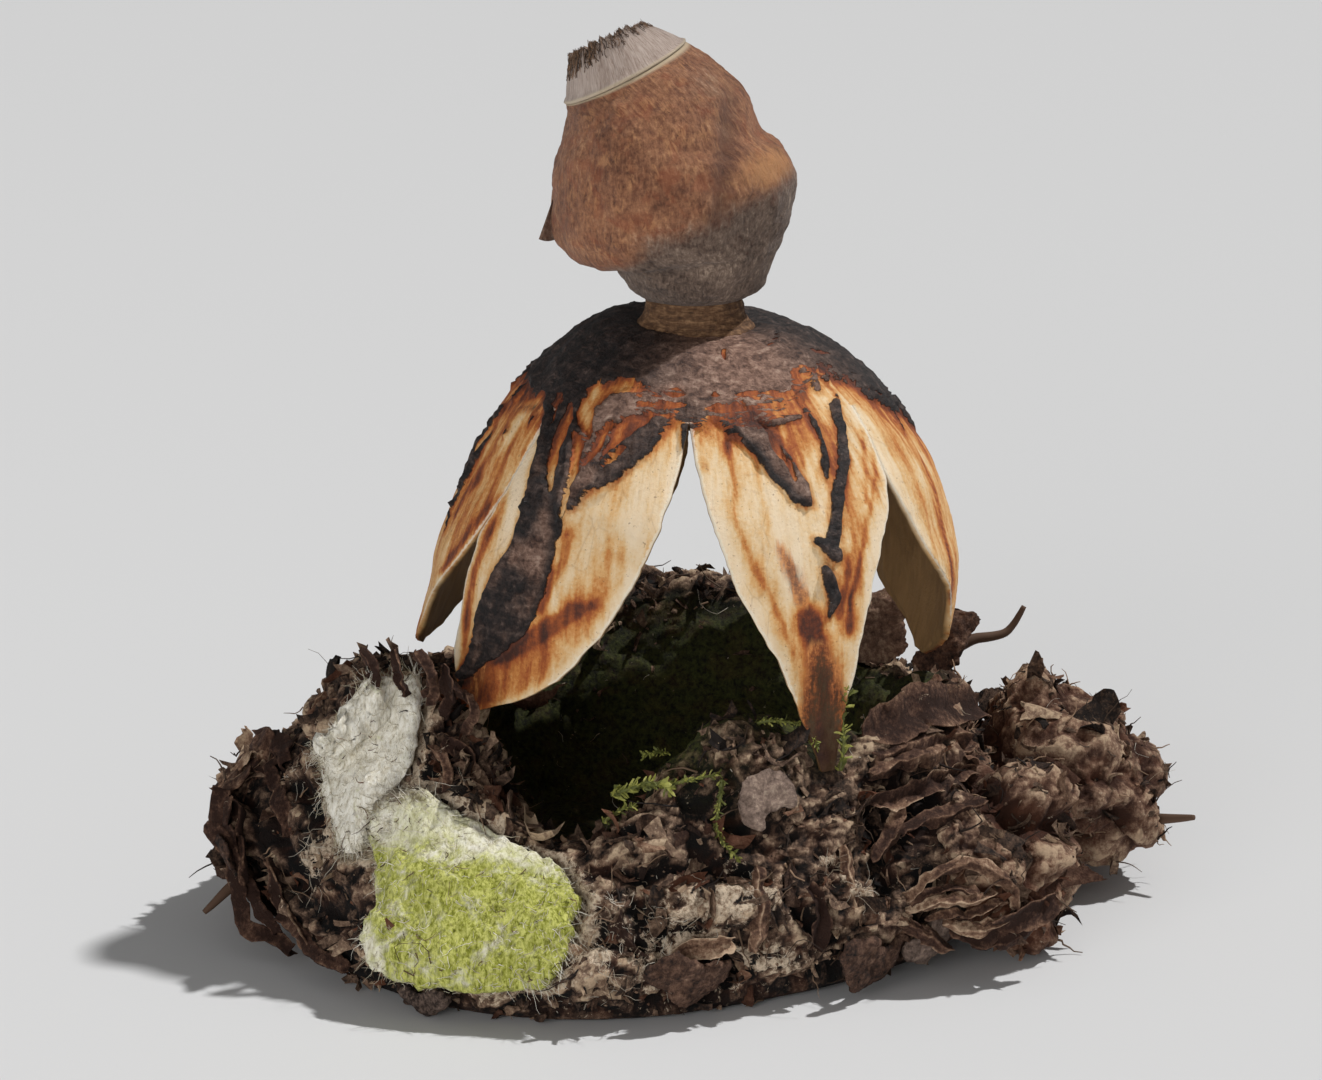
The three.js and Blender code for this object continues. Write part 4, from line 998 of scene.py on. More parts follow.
def make_sac():
    rows, columns = 150, 200
    u = np.linspace(0, 1, rows)
    angle = np.linspace(0, TURN, columns, endpoint=False)
    sections = curve(SAC_SECTIONS, u)
    points = section(sections, angle).reshape(-1, 3)
    normals = normals_of(points, grid_faces(rows, columns, closed=True))
    x, z = points[:, 0], points[:, 2]
    front = smooth(-points[:, 1], -2, 4)
    u_at = np.repeat(u, columns)
    crease = hill((x - 1.6 - 0.12 * (z - 50), 0.7)) * front * smooth(z, 45, 48) * smooth(z, 56, 53)
    dent = hill((x - 3.9, 1.6), (z - 46.0, 2.2)) * front
    fold = hill((z - 44.6 - 0.28 * (x + 6), 0.45)) * smooth(x, -2.2, -4.6) * front
    rise = 0.34 * rough(points, 3.4, 3, 3) + 0.13 * rough(points, 1.0, 3, 4) + 0.05 * rough(points, 0.4, 2, 5)
    rise = rise * smooth(u_at, 1.0, 0.93) * smooth(u_at, 0.0, 0.05) - 0.3 * crease - 0.35 * dent - 0.12 * fold
    points = points + normals * rise[:, None]
    # Greyer near the neck and towards the mouth, ochre on the right bulge, pale at the mouth's border, and
    # the crease darkened with painted shade.
    low = smooth(z, 44.6, 42.8) * smooth(x, -7.4, -4.6)
    low = low + 1.1 * smooth(x, -5.6, -2.6) * smooth(z - 0.4 * x, 48.4, 45.2)
    low = low + 0.45 * hill((x - 0.8, 1.8), (z - 55.4, 3.2)) * front
    ochre = hill((x - 4.5, 2.6), (z - 49.8, 1.5)) * front + 0.4 * smooth(z, 51, 55) * smooth(x, -3, 1)
    border = smooth(u_at, 0.972, 0.99)
    ends = [section(sections[k], angle).mean(axis=(0, 1)) for k in (0, -1)]
    uv = np.stack([np.tile(angle, rows) * 6, u_at * 22], -1)
    fields = {"low": (low, 1.0), "ochre": (ochre, 0.0), "border": (border, 0.0), "crease": (crease, 0.0)}
    piece(
        "spore_sac_skin", np.concatenate([points, ends]), capped_rings(rows, columns), sac_finish(),
        replaces=["spore_sac"], uv=np.concatenate([uv, [[0, 0], [0, 22]]]),
        fields={key: np.append(value, [end, end]) for key, (value, end) in fields.items()},
    )


def make_sac_flap():
    """A small torn flap that stands off the sac's left side."""
    rows, columns = 9, 7
    top, low, tip = np.array([(-9.2, -0.6, 47.4), (-8.9, -1.0, 44.7), (-10.15, -1.6, 44.85)])
    grid = np.meshgrid(np.linspace(0, 1, rows), np.linspace(0, 1, columns), indexing="ij")
    t, s = (share.reshape(-1, 1) for share in grid)
    inner, outer = top + (low - top) * t, top + (tip - top) * t
    curl = np.hstack([0 * s, 0.25 * np.sin(3 * s + 2 * t), -0.15 * np.sin(math.pi * s) * t])
    front = inner + (outer - inner) * s + curl
    both = np.concatenate([front + np.array([0.05, 0.3, 0]), front])
    level = np.zeros(len(both))
    piece(
        "spore_sac_flap", both, sheet_faces(rows, columns).tolist(), bpy.data.materials["spore_sac_skin"],
        fields={"low": level + 0.75, "ochre": level, "border": level}, uv=both[:, [0, 2]],
    )


def make_mouth():
    """The fibrous cone, and a shallow dip inside its lip; gives its rings and the way that it points."""
    columns = 260
    angle = np.linspace(0, TURN, columns, endpoint=False)
    base = SAC_SECTIONS[-1]
    axis = unit(np.array([base[1] - base[3], 0, base[2] - base[0]]))
    circle = np.stack([np.cos(angle), np.sin(angle), 0 * angle], -1)
    shoulder = 0.5 * (base + MOUTH_TOP) + (-0.1, 0, 0.25, 0.15, 0.2)
    rings, rises = [], []
    for t in np.linspace(0, 1, MOUTH_LEVELS):
        row = (1 - t) ** 2 * base + 2 * t * (1 - t) * shoulder + t**2 * MOUTH_TOP
        ring = section(row, angle, MOUTH_NOD * t)[0] + axis * 0.05
        comb = rough(circle * 8, 0.5, 3, 2) * (0.04 + 0.12 * t)
        comb = comb + 0.05 * rough(np.c_[circle[:, :2] * 4, 0 * angle + 3 * t], 1.0, 2, 3)
        bead = 0.16 * hill((t - 0.05, 0.04))
        fray = (rough(circle * 9, 0.6, 3, 7) * 0.42 + 0.15 * rough(circle * 30, 0.5, 2, 9))[:, None] * t**6
        rings.append(ring + unit(ring - ring.mean(axis=0)) * (comb + bead)[:, None] + axis * fray)
        rises.append(t)
    lip = rings[-1]
    middle = lip.mean(axis=0)
    for shrink, drop in ((0.9, 0.1), (0.8, 0.5), (0.55, 0.95), (0.25, 1.2)):
        rings.append(middle + (lip - middle) * shrink - axis * drop)
        rises.append(1.15)
    rows = len(rings)
    uv = np.stack([np.tile(angle * 4, rows), np.repeat(np.linspace(0, 4, rows), columns)], -1)
    left = np.append(0.5 - 0.5 * np.tile(np.cos(angle), rows), [0.0, 0.0])
    piece(
        "mouth_fibres", np.concatenate([*rings, [rings[0].mean(axis=0), rings[-1].mean(axis=0)]]),
        capped_rings(rows, columns), mouth_finish(), replaces=["mouth_cone"],
        fields={"rise": np.append(np.repeat(rises, columns), [0.0, 1.2]), "left": left},
        uv=np.concatenate([uv, [[0, 0], [0, 4]]]),
    )
    return rings, axis


def tubes(name, lines, radii, material, shades, sides=4, replaces=()):
    """Thin tapering strands along lines of points, one mesh for all of them."""
    points, faces, field, count = [], [], [], 0
    turn = np.linspace(0, TURN, sides, endpoint=False)[:, None]
    for line, radius, shade in zip(lines, radii, shades):
        line = np.asarray(line, float)
        n = len(line)
        tangent = unit(np.gradient(line, axis=0))
        aside = unit(np.cross(tangent, [0.31, 0.22, 0.93]))
        other = np.cross(tangent, aside)
        size = (radius * np.linspace(1, 0.35, n))[:, None, None]
        ring = line[:, None] + size * (aside[:, None] * np.cos(turn) + other[:, None] * np.sin(turn))
        points.append(ring.reshape(-1, 3))
        faces += grid_faces(n, sides, closed=True, start=count).tolist()
        faces.append(list(range(count + sides - 1, count - 1, -1)))
        faces.append(list(range(count + (n - 1) * sides, count + n * sides)))
        field.append(np.full(n * sides, shade))
        count += n * sides
    piece(
        name, np.concatenate(points), faces, material, replaces,
        fields={"shade": np.concatenate(field)},
    )


def make_fringe(rings, axis):
    """Dark hairs matted on the upper half of the mouth's cone, some standing past its lip."""
    random = np.random.default_rng(12)
    columns, lip = len(rings[0]), MOUTH_LEVELS - 1
    lines, radii, shades = [], [], []
    clumps = random.integers(0, columns, 80)
    while len(lines) < 640:
        j = int(clumps[random.integers(len(clumps))] + random.normal(0, 3.2)) % columns
        west = 0.5 - 0.5 * math.cos(TURN * j / columns)
        if random.random() > 0.1 + west**2:
            continue
        low = int(random.integers(12 + int(9 * (1 - west)), lip))
        top = random.uniform(-0.08, 0.12)
        lean = random.normal(0, 4.0)
        line = []
        for t in np.arange(6) / 5:
            level = low + (lip - low) * t
            i, f = int(level), level - int(level)
            here = int(j + lean * t + random.normal(0, 0.5)) % columns
            point = rings[i][here] * (1 - f) + rings[min(i + 1, lip)][here] * f
            out = unit(point - rings[i].mean(axis=0))
            line.append(point + out * random.uniform(0.0, 0.09) + axis * top * t**3)
        lines.append(line)
        radii.append(random.uniform(0.012, 0.03))
        shades.append(random.uniform(0, 1) ** 2)
    finish = thread_finish("fringe_hair", (46, 34, 28), (150, 116, 88), 0.6)
    tubes("mouth_fringe", lines, radii, finish, shades)


def make_stalk():
    """The short ringed neck, sunk a little into the dome and the sac."""
    rows, columns = 40, 110
    bottom, top = float(dome_height(np.array(3.4), 270.0)) - 0.2, 40.95
    angle = np.tile(np.linspace(0, TURN, columns, endpoint=False), rows)
    share = np.repeat(np.linspace(0, 1, rows), columns)
    radius = spline([4.0, 3.6, 3.35, 3.25, 3.15, 3.05], share)
    points = np.stack([radius * np.cos(angle), radius * np.sin(angle), bottom + (top - bottom) * share], -1)
    folds = 0.14 * rough(points * (0.3, 0.3, 1.0), 0.4, 3, 5) + 0.12 * rough(points, 1.4, 3, 6)
    points = points + unit(points * (1, 1, 0)) * folds[:, None] - np.array([0.2, 0, 0])
    points = np.concatenate([points, [(-0.2, 0, bottom), (-0.2, 0, top)]])
    piece("stalk_skin", points, capped_rings(rows, columns), stalk_finish(), replaces=["stalk"])


# ---- the litter ----------------------------------------------------------------------------------

CLOD_NODES = ["clod_far_right", "clod_right", "clod_left", "clod_left_crest", "clod_front", "clod_rear"]
FELT_PIECES = ["felt_upper_mat", "felt_lower_mat"]


def tree_of(*names):
    """A search tree over CAD nodes or finished pieces, in millimetres from the axis."""
    points, faces = [], []
    for name in names:
        mesh = bpy.data.objects[name].data
        start = len(points)
        points += [tuple((np.array(v.co) - AXIS) / MM) for v in mesh.vertices]
        faces += [[start + k for k in p.vertices] for p in mesh.polygons]
    return BVHTree.FromPolygons(points, faces)


def distance_to(tree, points, limit=3.0):
    """Distance from each point to the nearest surface of a search tree, at most the limit."""
    found = (tree.find_nearest(Vector(p), limit)[3] for p in points)
    return np.array([limit if d is None else d for d in found])


def surface_spots(points, quads, count, random, weight=None):
    """Random places on a mesh, with the outward direction at each; a weight says where they crowd."""
    a, b, c, d = (points[quads[:, k]] for k in range(4))
    normal = np.cross(c - a, d - b)
    area = np.linalg.norm(normal, axis=1)
    normal = normal / np.maximum(area[:, None], 1e-9)
    chance = area * (1 if weight is None else weight((a + b + c + d) / 4))
    face = random.choice(len(quads), count, p=chance / chance.sum())
    s, t = random.random((2, count, 1))
    place = (a[face] * (1 - s) + b[face] * s) * (1 - t) + (d[face] * (1 - s) + c[face] * s) * t
    return place, normal[face]


def frames_on(normals, random, tilt):
    """Three directions for each scrap: along, across and out, turned at random and tilted off the surface."""
    out = unit(normals + tilt * random.normal(size=normals.shape))
    along = unit(np.cross(out, random.normal(size=normals.shape)))
    return along, np.cross(out, along), out


def laid(local, places, lift, directions):
    """The points of scraps, each turned its own way and set down on its place, clear of the ground."""
    points = places[:, None] + directions[2][:, None] * lift
    for k, direction in enumerate(directions):
        points = points + local[..., k:k + 1] * direction[:, None]
    points[..., 2] = np.maximum(points[..., 2], CLEAR)
    return points.reshape(-1, 3)


def crumbs(name, places, normals, size, material, random, fields):
    """Angular crumbs: an icosahedron each, pulled about at random."""
    golden = (1 + 5**0.5) / 2
    corners = np.array([
        np.roll((0, a, b * golden), shift) for shift in (0, -1, 1) for a in (-1, 1) for b in (-1, 1)
    ]) / math.hypot(1, golden)
    sides = [
        s for s in itertools.combinations(range(12), 3)
        if np.linalg.norm(np.diff(corners[[*s, s[0]]], axis=0), axis=1).max() < 1.2
    ]
    sides = np.array([s if np.linalg.det(corners[list(s)]) > 0 else (s[0], s[2], s[1]) for s in sides])
    count = len(places)
    directions = frames_on(normals, random, 0.5)
    pull = 1 + 0.28 * random.normal(size=(count, 12, 1)).clip(-1.8, 1.8)
    limits = ((0.8, 1.7), (0.6, 1.1), (0.4, 0.8))
    stretch = np.stack([random.uniform(low, high, count) for low, high in limits], -1)
    local = corners[None] * pull * stretch[:, None] * size[:, None, None]
    faces = (sides[None] + 12 * np.arange(count)[:, None, None]).reshape(-1, 3)
    each = {key: np.repeat(value, 12) for key, value in fields.items()}
    points = laid(local, places, 0.0, directions)
    piece(name, points, faces.tolist(), material, fields=each, soft=False)


def flakes(name, places, normals, length, material, slot, random, fields, grain, bend, thick, narrow, lift,
           tilt=0.0, soft=False, point=0.35, turned=None, torn=0.16):
    """Bent, torn flakes of leaf and bark, each a thin closed shell of rows by columns of points."""
    rows, columns = grain
    n, count = rows * columns, len(places)
    directions = turned or frames_on(normals, random, tilt)
    s, t = np.meshgrid(np.linspace(-1, 1, rows), np.linspace(-1, 1, columns), indexing="ij")
    s, t = s.ravel(), t.ravel()
    each = lambda low, high: random.uniform(low, high, (count, 1))
    long = length[:, None] / 2
    wide = long * narrow * each(0.6, 1.4)
    torn = random.normal(size=(count, n)) * torn
    rim = np.maximum(np.abs(s), np.abs(t)) > 0.99
    x = long * (s + torn * rim * 0.6)
    y = wide * t * (1 - point * np.abs(s) ** each(1.2, 3)) * (1 + torn * rim) + wide * each(-0.5, 0.5) * s**2
    z = long * bend * (each(-1.4, 1.8) * s**2 + each(-1, 1) * s * t + each(-1.2, 1.2) * t**2)
    local = np.tile(np.stack([x, y, z + 0.1 * long * torn], -1), (1, 2, 1))
    local[..., 2] += np.repeat([thick / 2, -thick / 2], n) * (1 - 0.5 * np.tile(rim, 2))
    faces = (sheet_faces(rows, columns)[None] + 2 * n * np.arange(count)[:, None, None]).reshape(-1, 4)
    spread = {key: np.repeat(value, 2 * n) for key, value in fields.items()}
    points = laid(local, places, lift, directions)
    piece(name, points, faces.tolist(), material, fields=spread, soft=soft)


def fibres(name, places, normals, length, radii, material, random, tilt, curl=0.5, darker=1):
    """Loose threads and rootlets lying on the litter, some with an end in the air."""
    radius = random.uniform(*radii, len(places))
    shades = random.random(len(places)) ** darker
    lines = []
    t = np.linspace(0, 1, 6)[:, None]
    for place, a, b, o, long in zip(places, *frames_on(normals, random, tilt), length):
        swing, rise = random.normal(0, curl), random.uniform(-0.1, 0.55)
        line = place + a * long * t + b * long * swing * (t**2 - t) + o * (0.12 + long * rise * t**2)
        line += random.normal(0, 0.03, line.shape) * long
        line[:, 2] = np.maximum(line[:, 2], 4 * CLEAR)
        lines.append(line)
    tubes(name, lines, radius, material, shades)


# Hollows in the litter, sunk and painted dark as shade: places along each, how wide and how deep.
HOLLOWS = [
    ([(17.8, -9.6, 12), (19.1, -13.6, 11.5), (20.8, -13.8, 10.2), (23, -13.2, 9.4), (25.8, -8.5, 7.6),
      (28.4, -2, 5.6)], 1.25, 2.2),
    ([(11.4, -14.5, 10.5), (11.7, -15.4, 8.8), (12, -16.1, 7.3)], 0.7, 1.3),
    ([(-5.4, -20.2, 11.1), (-4.4, -20.2, 11.3), (-3.3, -20.2, 11.5)], 0.6, 1.1),
    ([(-3.6, -22.6, 7), (-2.1, -23.8, 5.9), (0, -23.4, 6.1)], 0.7, 1.2),
    ([(0.2, -20.7, 9.9), (1.6, -21, 9.2), (3.1, -20.5, 8.6)], 0.7, 1.2),
    ([(-27.2, -9, 8.4), (-26.5, -11.7, 7.3), (-25.9, -13.5, 6)], 0.9, 1.2),
    ([(-25.5, -8.3, 10.2), (-24.6, -11, 10.1), (-24, -12.6, 9.7)], 0.7, 1),
    ([(-17.9, -15.8, 14.4), (-16.1, -15.9, 13.7)], 0.7, 1),
    ([(-28.1, -9.7, 7.6), (-28.3, -10.9, 6.1), (-27.6, -12.4, 4)], 0.8, 1),
    ([(5.6, -20.6, 7.4), (6.8, -20.6, 5.6), (8.4, -20.2, 4.4)], 0.6, 1.1),
    ([(13, -16.4, 4.6), (15, -17, 3.4), (18, -17, 3)], 0.7, 1.1),
    ([(-12.4, -19.2, 10.4), (-10.6, -20.4, 9.8), (-8.6, -20.8, 10.2)], 0.6, 0.9),
]
# Where pale threads have grown over the litter.
THREADY = [
    ([(-17.9, -15.8, 12.7), (-16.3, -16.3, 12.6), (-14.7, -16.6, 12.3)], 0.9, 0.6),
    ([(-22.7, -14.7, 10.6), (-23.9, -14.3, 8.2), (-25.1, -14.2, 6.2)], 1, 1),
    ([(-25.6, -7, 10.5), (-24.4, -7.5, 11.7)], 0.7, 0.5),
    ([(-21.4, -15.6, 11.1), (-21, -16.4, 9)], 1.1, 0.9),
    ([(0, -22.7, 7.4), (1.9, -22.2, 7.5), (3.6, -21.2, 7.5)], 0.8, 0.7),
    ([(-0.6, -23.6, 4.5), (0.4, -23.3, 4.5), (1.4, -22.8, 4.2)], 0.9, 0.8),
    ([(8.1, -18.2, 8.6), (9.5, -17.9, 7.3), (11, -17.9, 6)], 0.7, 0.6),
    ([(-8.5, -23.5, 6.4), (-7, -23.5, 5.4), (-6.1, -24.1, 4.6)], 0.9, 0.8),
    ([(-2.6, -23.4, 3.4), (2, -22.6, 2.6), (5.4, -21.2, 3.4)], 1.2, 0.5),
]


def thready(points):
    """How thickly pale threads cover the litter, 0 to 1."""
    return np.max([amount * along_line(points, line, spread) for line, spread, amount in THREADY], axis=0)


def make_bed():
    """The basket and its clods as one crumbly mass."""
    points, quads = node_copy(["litter_basket", *CLOD_NODES], LITTER_VOXEL, 5)
    normals = normals_of(points, quads)
    felts = distance_to(tree_of(*FELT_PIECES), points)
    skin = distance_to(tree_of("star"), points)
    x, z = points[:, 0], points[:, 2]
    radius = np.hypot(x, points[:, 1])
    east = smooth(x, 14, 20)
    inner = smooth(radius, 17.5, 14.5) * smooth(z, 3.5, 5)
    bent = points + 0.5 * drift(points, 1.6, 3, 70)
    lumps = billows(bent * (1, 1, 1.25), 4.4, 1, 3)
    clumps = billows(bent * (1, 1, 1.5), 1.9, 2, 5)
    bits = 0.5 + 0.6 * rough(bent * (1, 1, 1.5), 0.8, 3, 9)
    grains, grain_number = pebbles(bent * (1, 1, 1.4), 1.1, 5)
    slabs = ridged(points * (0.4, 0.4, 1), 1.5, 3, 12)
    rise = 0.4 * rough(points, 3.4, 2, 4) + 1.9 * (lumps - 0.5) + (0.9 - 0.5 * east) * (clumps - 0.5)
    rise = rise + 0.5 * (bits - 0.5) + 0.7 * east * (slabs - 0.5)
    rise = rise + (0.4 - 0.25 * east) * (grains - 0.5) * (0.3 + 0.9 * grain_number) - 0.15
    painted_hollow_shade = np.zeros(len(points))
    for line, spread, depth in HOLLOWS:
        near_line = along_line(points, line, spread)
        rise = rise * (1 - 0.5 * near_line) - depth * near_line
        painted_hollow_shade = np.maximum(painted_hollow_shade, near_line)
    # The litter wells up round the felts, so that they lie in it.
    brim = smooth(felts, 0.3, 1.0) * smooth(felts, 3.0, 1.0)
    rise = rise * (1 - 0.45 * inner) * smooth(felts, 0.1, 1.2) + 0.5 * brim - 0.5 * smooth(felts, 0.6, 0.1)
    points = points + normals * (rise * smooth(skin, 0.2, 1.6) * smooth(z, 0.1, 1.2))[:, None]
    points[:, 2] = np.maximum(points[:, 2], 0.0)
    # Painted highlights and shade: points that stand out of the mass are painted paler and sunken ones
    # darker.
    stand = ((points - relax(points, quads, 10)) * normals_of(points, quads)).sum(axis=1)
    x, z = points[:, 0], points[:, 2]
    shade = 0.31 + 1.0 * np.clip(stand * 2.4, -0.5, 0.5) + 0.15 * (lumps - 0.5)
    shade = shade + (0.25 - 0.15 * east) * (grain_number - 0.5)
    # Painted shade: darker in the hollows, along the foot of the mass and inside the basket.
    shade = shade - 0.75 * painted_hollow_shade - 0.36 * smooth(z, 2.6, 0.4) + 0.04 * east - 0.75 * inner
    shade = shade + 0.22 * bumps(points, 3.6, 77) - 0.03 * smooth(x, -20, -26)
    mould = 0.7 * smooth(felts, 1.3, 0.2) + thready(points) * (0.4 + 0.7 * smooth(stand, -0.1, 0.1)) + 0.04
    mould = mould + 0.48 * near(points, -1, -22, 5.5, (8, 4, 4.5)) * smooth(stand, -0.15, 0.1)
    red = along_line(points, [(18.0, -16.6, 5.2), (19.6, -16.1, 4.2), (21.3, -15.0, 3.3)], 1.8)
    # Inside the basket the litter is tinged dark green, partly as moss and partly as painted shade.
    green = np.clip(0.4 * inner + 0.45 * near(points, 0.5, -14, 15, (5, 3.2, 3)), 0, 0.85)
    piece(
        "litter_mass", points, quads.tolist(),
        litter_finish("litter_mass", (9, 6, 5), (76, 58, 47), (140, 114, 94), (206, 180, 150)),
        replaces=["litter_basket", *CLOD_NODES],
        fields={
            "shade": shade, "green": green, "rust": 0.3 * grain_number**3 + 0.9 * red + 0.35 * east,
            "mould": mould * (1 - inner),
        },
    )
    return points, quads


def low_front(points):
    """Where white threads have grown through the litter: low at the front, beside the lower felt."""
    return np.maximum(0.6 * near(points, -4, -23, 5, (5, 5, 3)), thready(points))


def scatter_litter(points, quads):
    """Loose crumbs, flakes, leaves, rootlets and threads over the mass of litter."""
    random = np.random.default_rng(42)
    felts, skin = tree_of(*FELT_PIECES), tree_of("star")
    crumbly = litter_finish("litter_crumb", (26, 19, 16), (84, 65, 53), (138, 112, 92), (208, 184, 154))
    leafy = litter_finish("litter_flake", (30, 22, 18), (86, 66, 53), (138, 112, 92), (198, 172, 142))

    def chosen(count, weight, felt_gap, skin_gap=0.45):
        place, normal = surface_spots(points, quads, count, random, weight)
        keep = (normal[:, 2] > -0.8) & (place[:, 2] > 0.3)
        keep &= distance_to(felts, place, 2) > felt_gap
        keep &= distance_to(skin, place, 2) > skin_gap
        keep &= along_line(place, HOLLOWS[0][0], 1.0) < 0.5
        return place[keep], normal[keep]

    def sizes(place, shape, scale, low, high):
        return random.gamma(shape, scale, len(place)).clip(low, high)

    def looks(place, power, paler):
        shade = random.beta(2, 3, len(place)) * 0.9
        shade = shade + 0.35 * (random.random(len(place)) < 0.06 + 0.4 * low_front(place))
        return {
            "shade": shade + paler, "rust": random.random(len(place)) ** power, "green": 0 * shade,
            "mould": 0.5 * low_front(place) * random.random(len(place)),
        }

    outside = lambda m: 0.02 + smooth(np.hypot(m[:, 0], m[:, 1]), 14, 17.5)
    right = lambda m: smooth(m[:, 0], 4, 14)
    left = lambda m: smooth(m[:, 0], -20, -26)
    spikes = lambda m: outside(m) * (1 - 0.6 * smooth(m[:, 0], 22, 26) - 0.55 * left(m))
    crest = lambda m: near(m, -18, -12.5, 18.6, (5.5, 3, 1.8)) + near(m, -14.4, -15.6, 14.5, (1.6, 1.6, 3))

    place, normal = chosen(2600, lambda m: outside(m) * (1 - 0.7 * right(m)) * (1 - 0.7 * left(m)), 0.2)
    size = sizes(place, 2.4, 0.065, 0.06, 0.5)
    crumbs("litter_crumbs", place, normal, size, crumbly, random, looks(place, 5, 0.05))

    # Each kind: count, where it crowds and the gaps that it keeps, spread of sizes, rust and paleness, shape.
    # The last flakes stand up along the crest beside the upper felt.
    for name, where, spread, look, shape in (
        ("litter_flakes", (1350, spikes, 0.5), (3.2, 0.4, 0.5, 3.0), (4, -0.05),
         dict(grain=(5, 4), tilt=0.45, bend=0.42, lift=0.02, thick=0.1, narrow=0.42)),
        ("litter_shreds", (850, spikes, 0.4), (3.2, 0.36, 0.5, 2.6), (5, 0.05),
         dict(grain=(6, 3), tilt=0.4, bend=0.5, lift=0.0, thick=0.09, narrow=0.16, torn=0.12)),
        ("crest_flakes", (190, crest, 0.9), (4.0, 0.4, 0.8, 2.8), (5, -0.15),
         dict(grain=(7, 4), tilt=1.2, bend=0.5, lift=0.35, thick=0.09, narrow=0.34, torn=0.2)),
    ):
        place, normal = chosen(*where)
        size = sizes(place, *spread)
        flakes(name, place, normal, size, leafy, "litter", random, looks(place, *look), soft=50, **shape)

    place, normal = chosen(46, lambda m: outside(m) * (0.2 + 1.2 * right(m) + 0.6 * left(m)), 1.6, 1.2)
    size = random.uniform(2.4, 4.4, len(place))
    flakes(
        "litter_leaves", place, normal, size, leafy, "litter", random, looks(place, 6, -0.1),
        grain=(15, 9), tilt=0.3, bend=0.5, thick=0.12, narrow=0.44, lift=-0.1, soft=60, torn=0.1,
    )

    place, normal = chosen(1150, outside, 0.3)
    size = sizes(place, 2.6, 0.55, 0.5, 3.4)
    twig = thread_finish("rootlet", (30, 21, 17), (158, 128, 102))
    fibres("litter_rootlets", place, normal, size, (0.03, 0.09), twig, random, tilt=0.3, darker=2)

    place, normal = chosen(440, lambda m: low_front(m) + 0.006, 0.02)
    size = sizes(place, 3.0, 0.36, 0.4, 2.4)
    pale = thread_finish("pale_thread", (160, 142, 118), (222, 214, 198))
    fibres("litter_threads", place, normal, size, (0.012, 0.03), pale, random, tilt=0.35, curl=0.9)


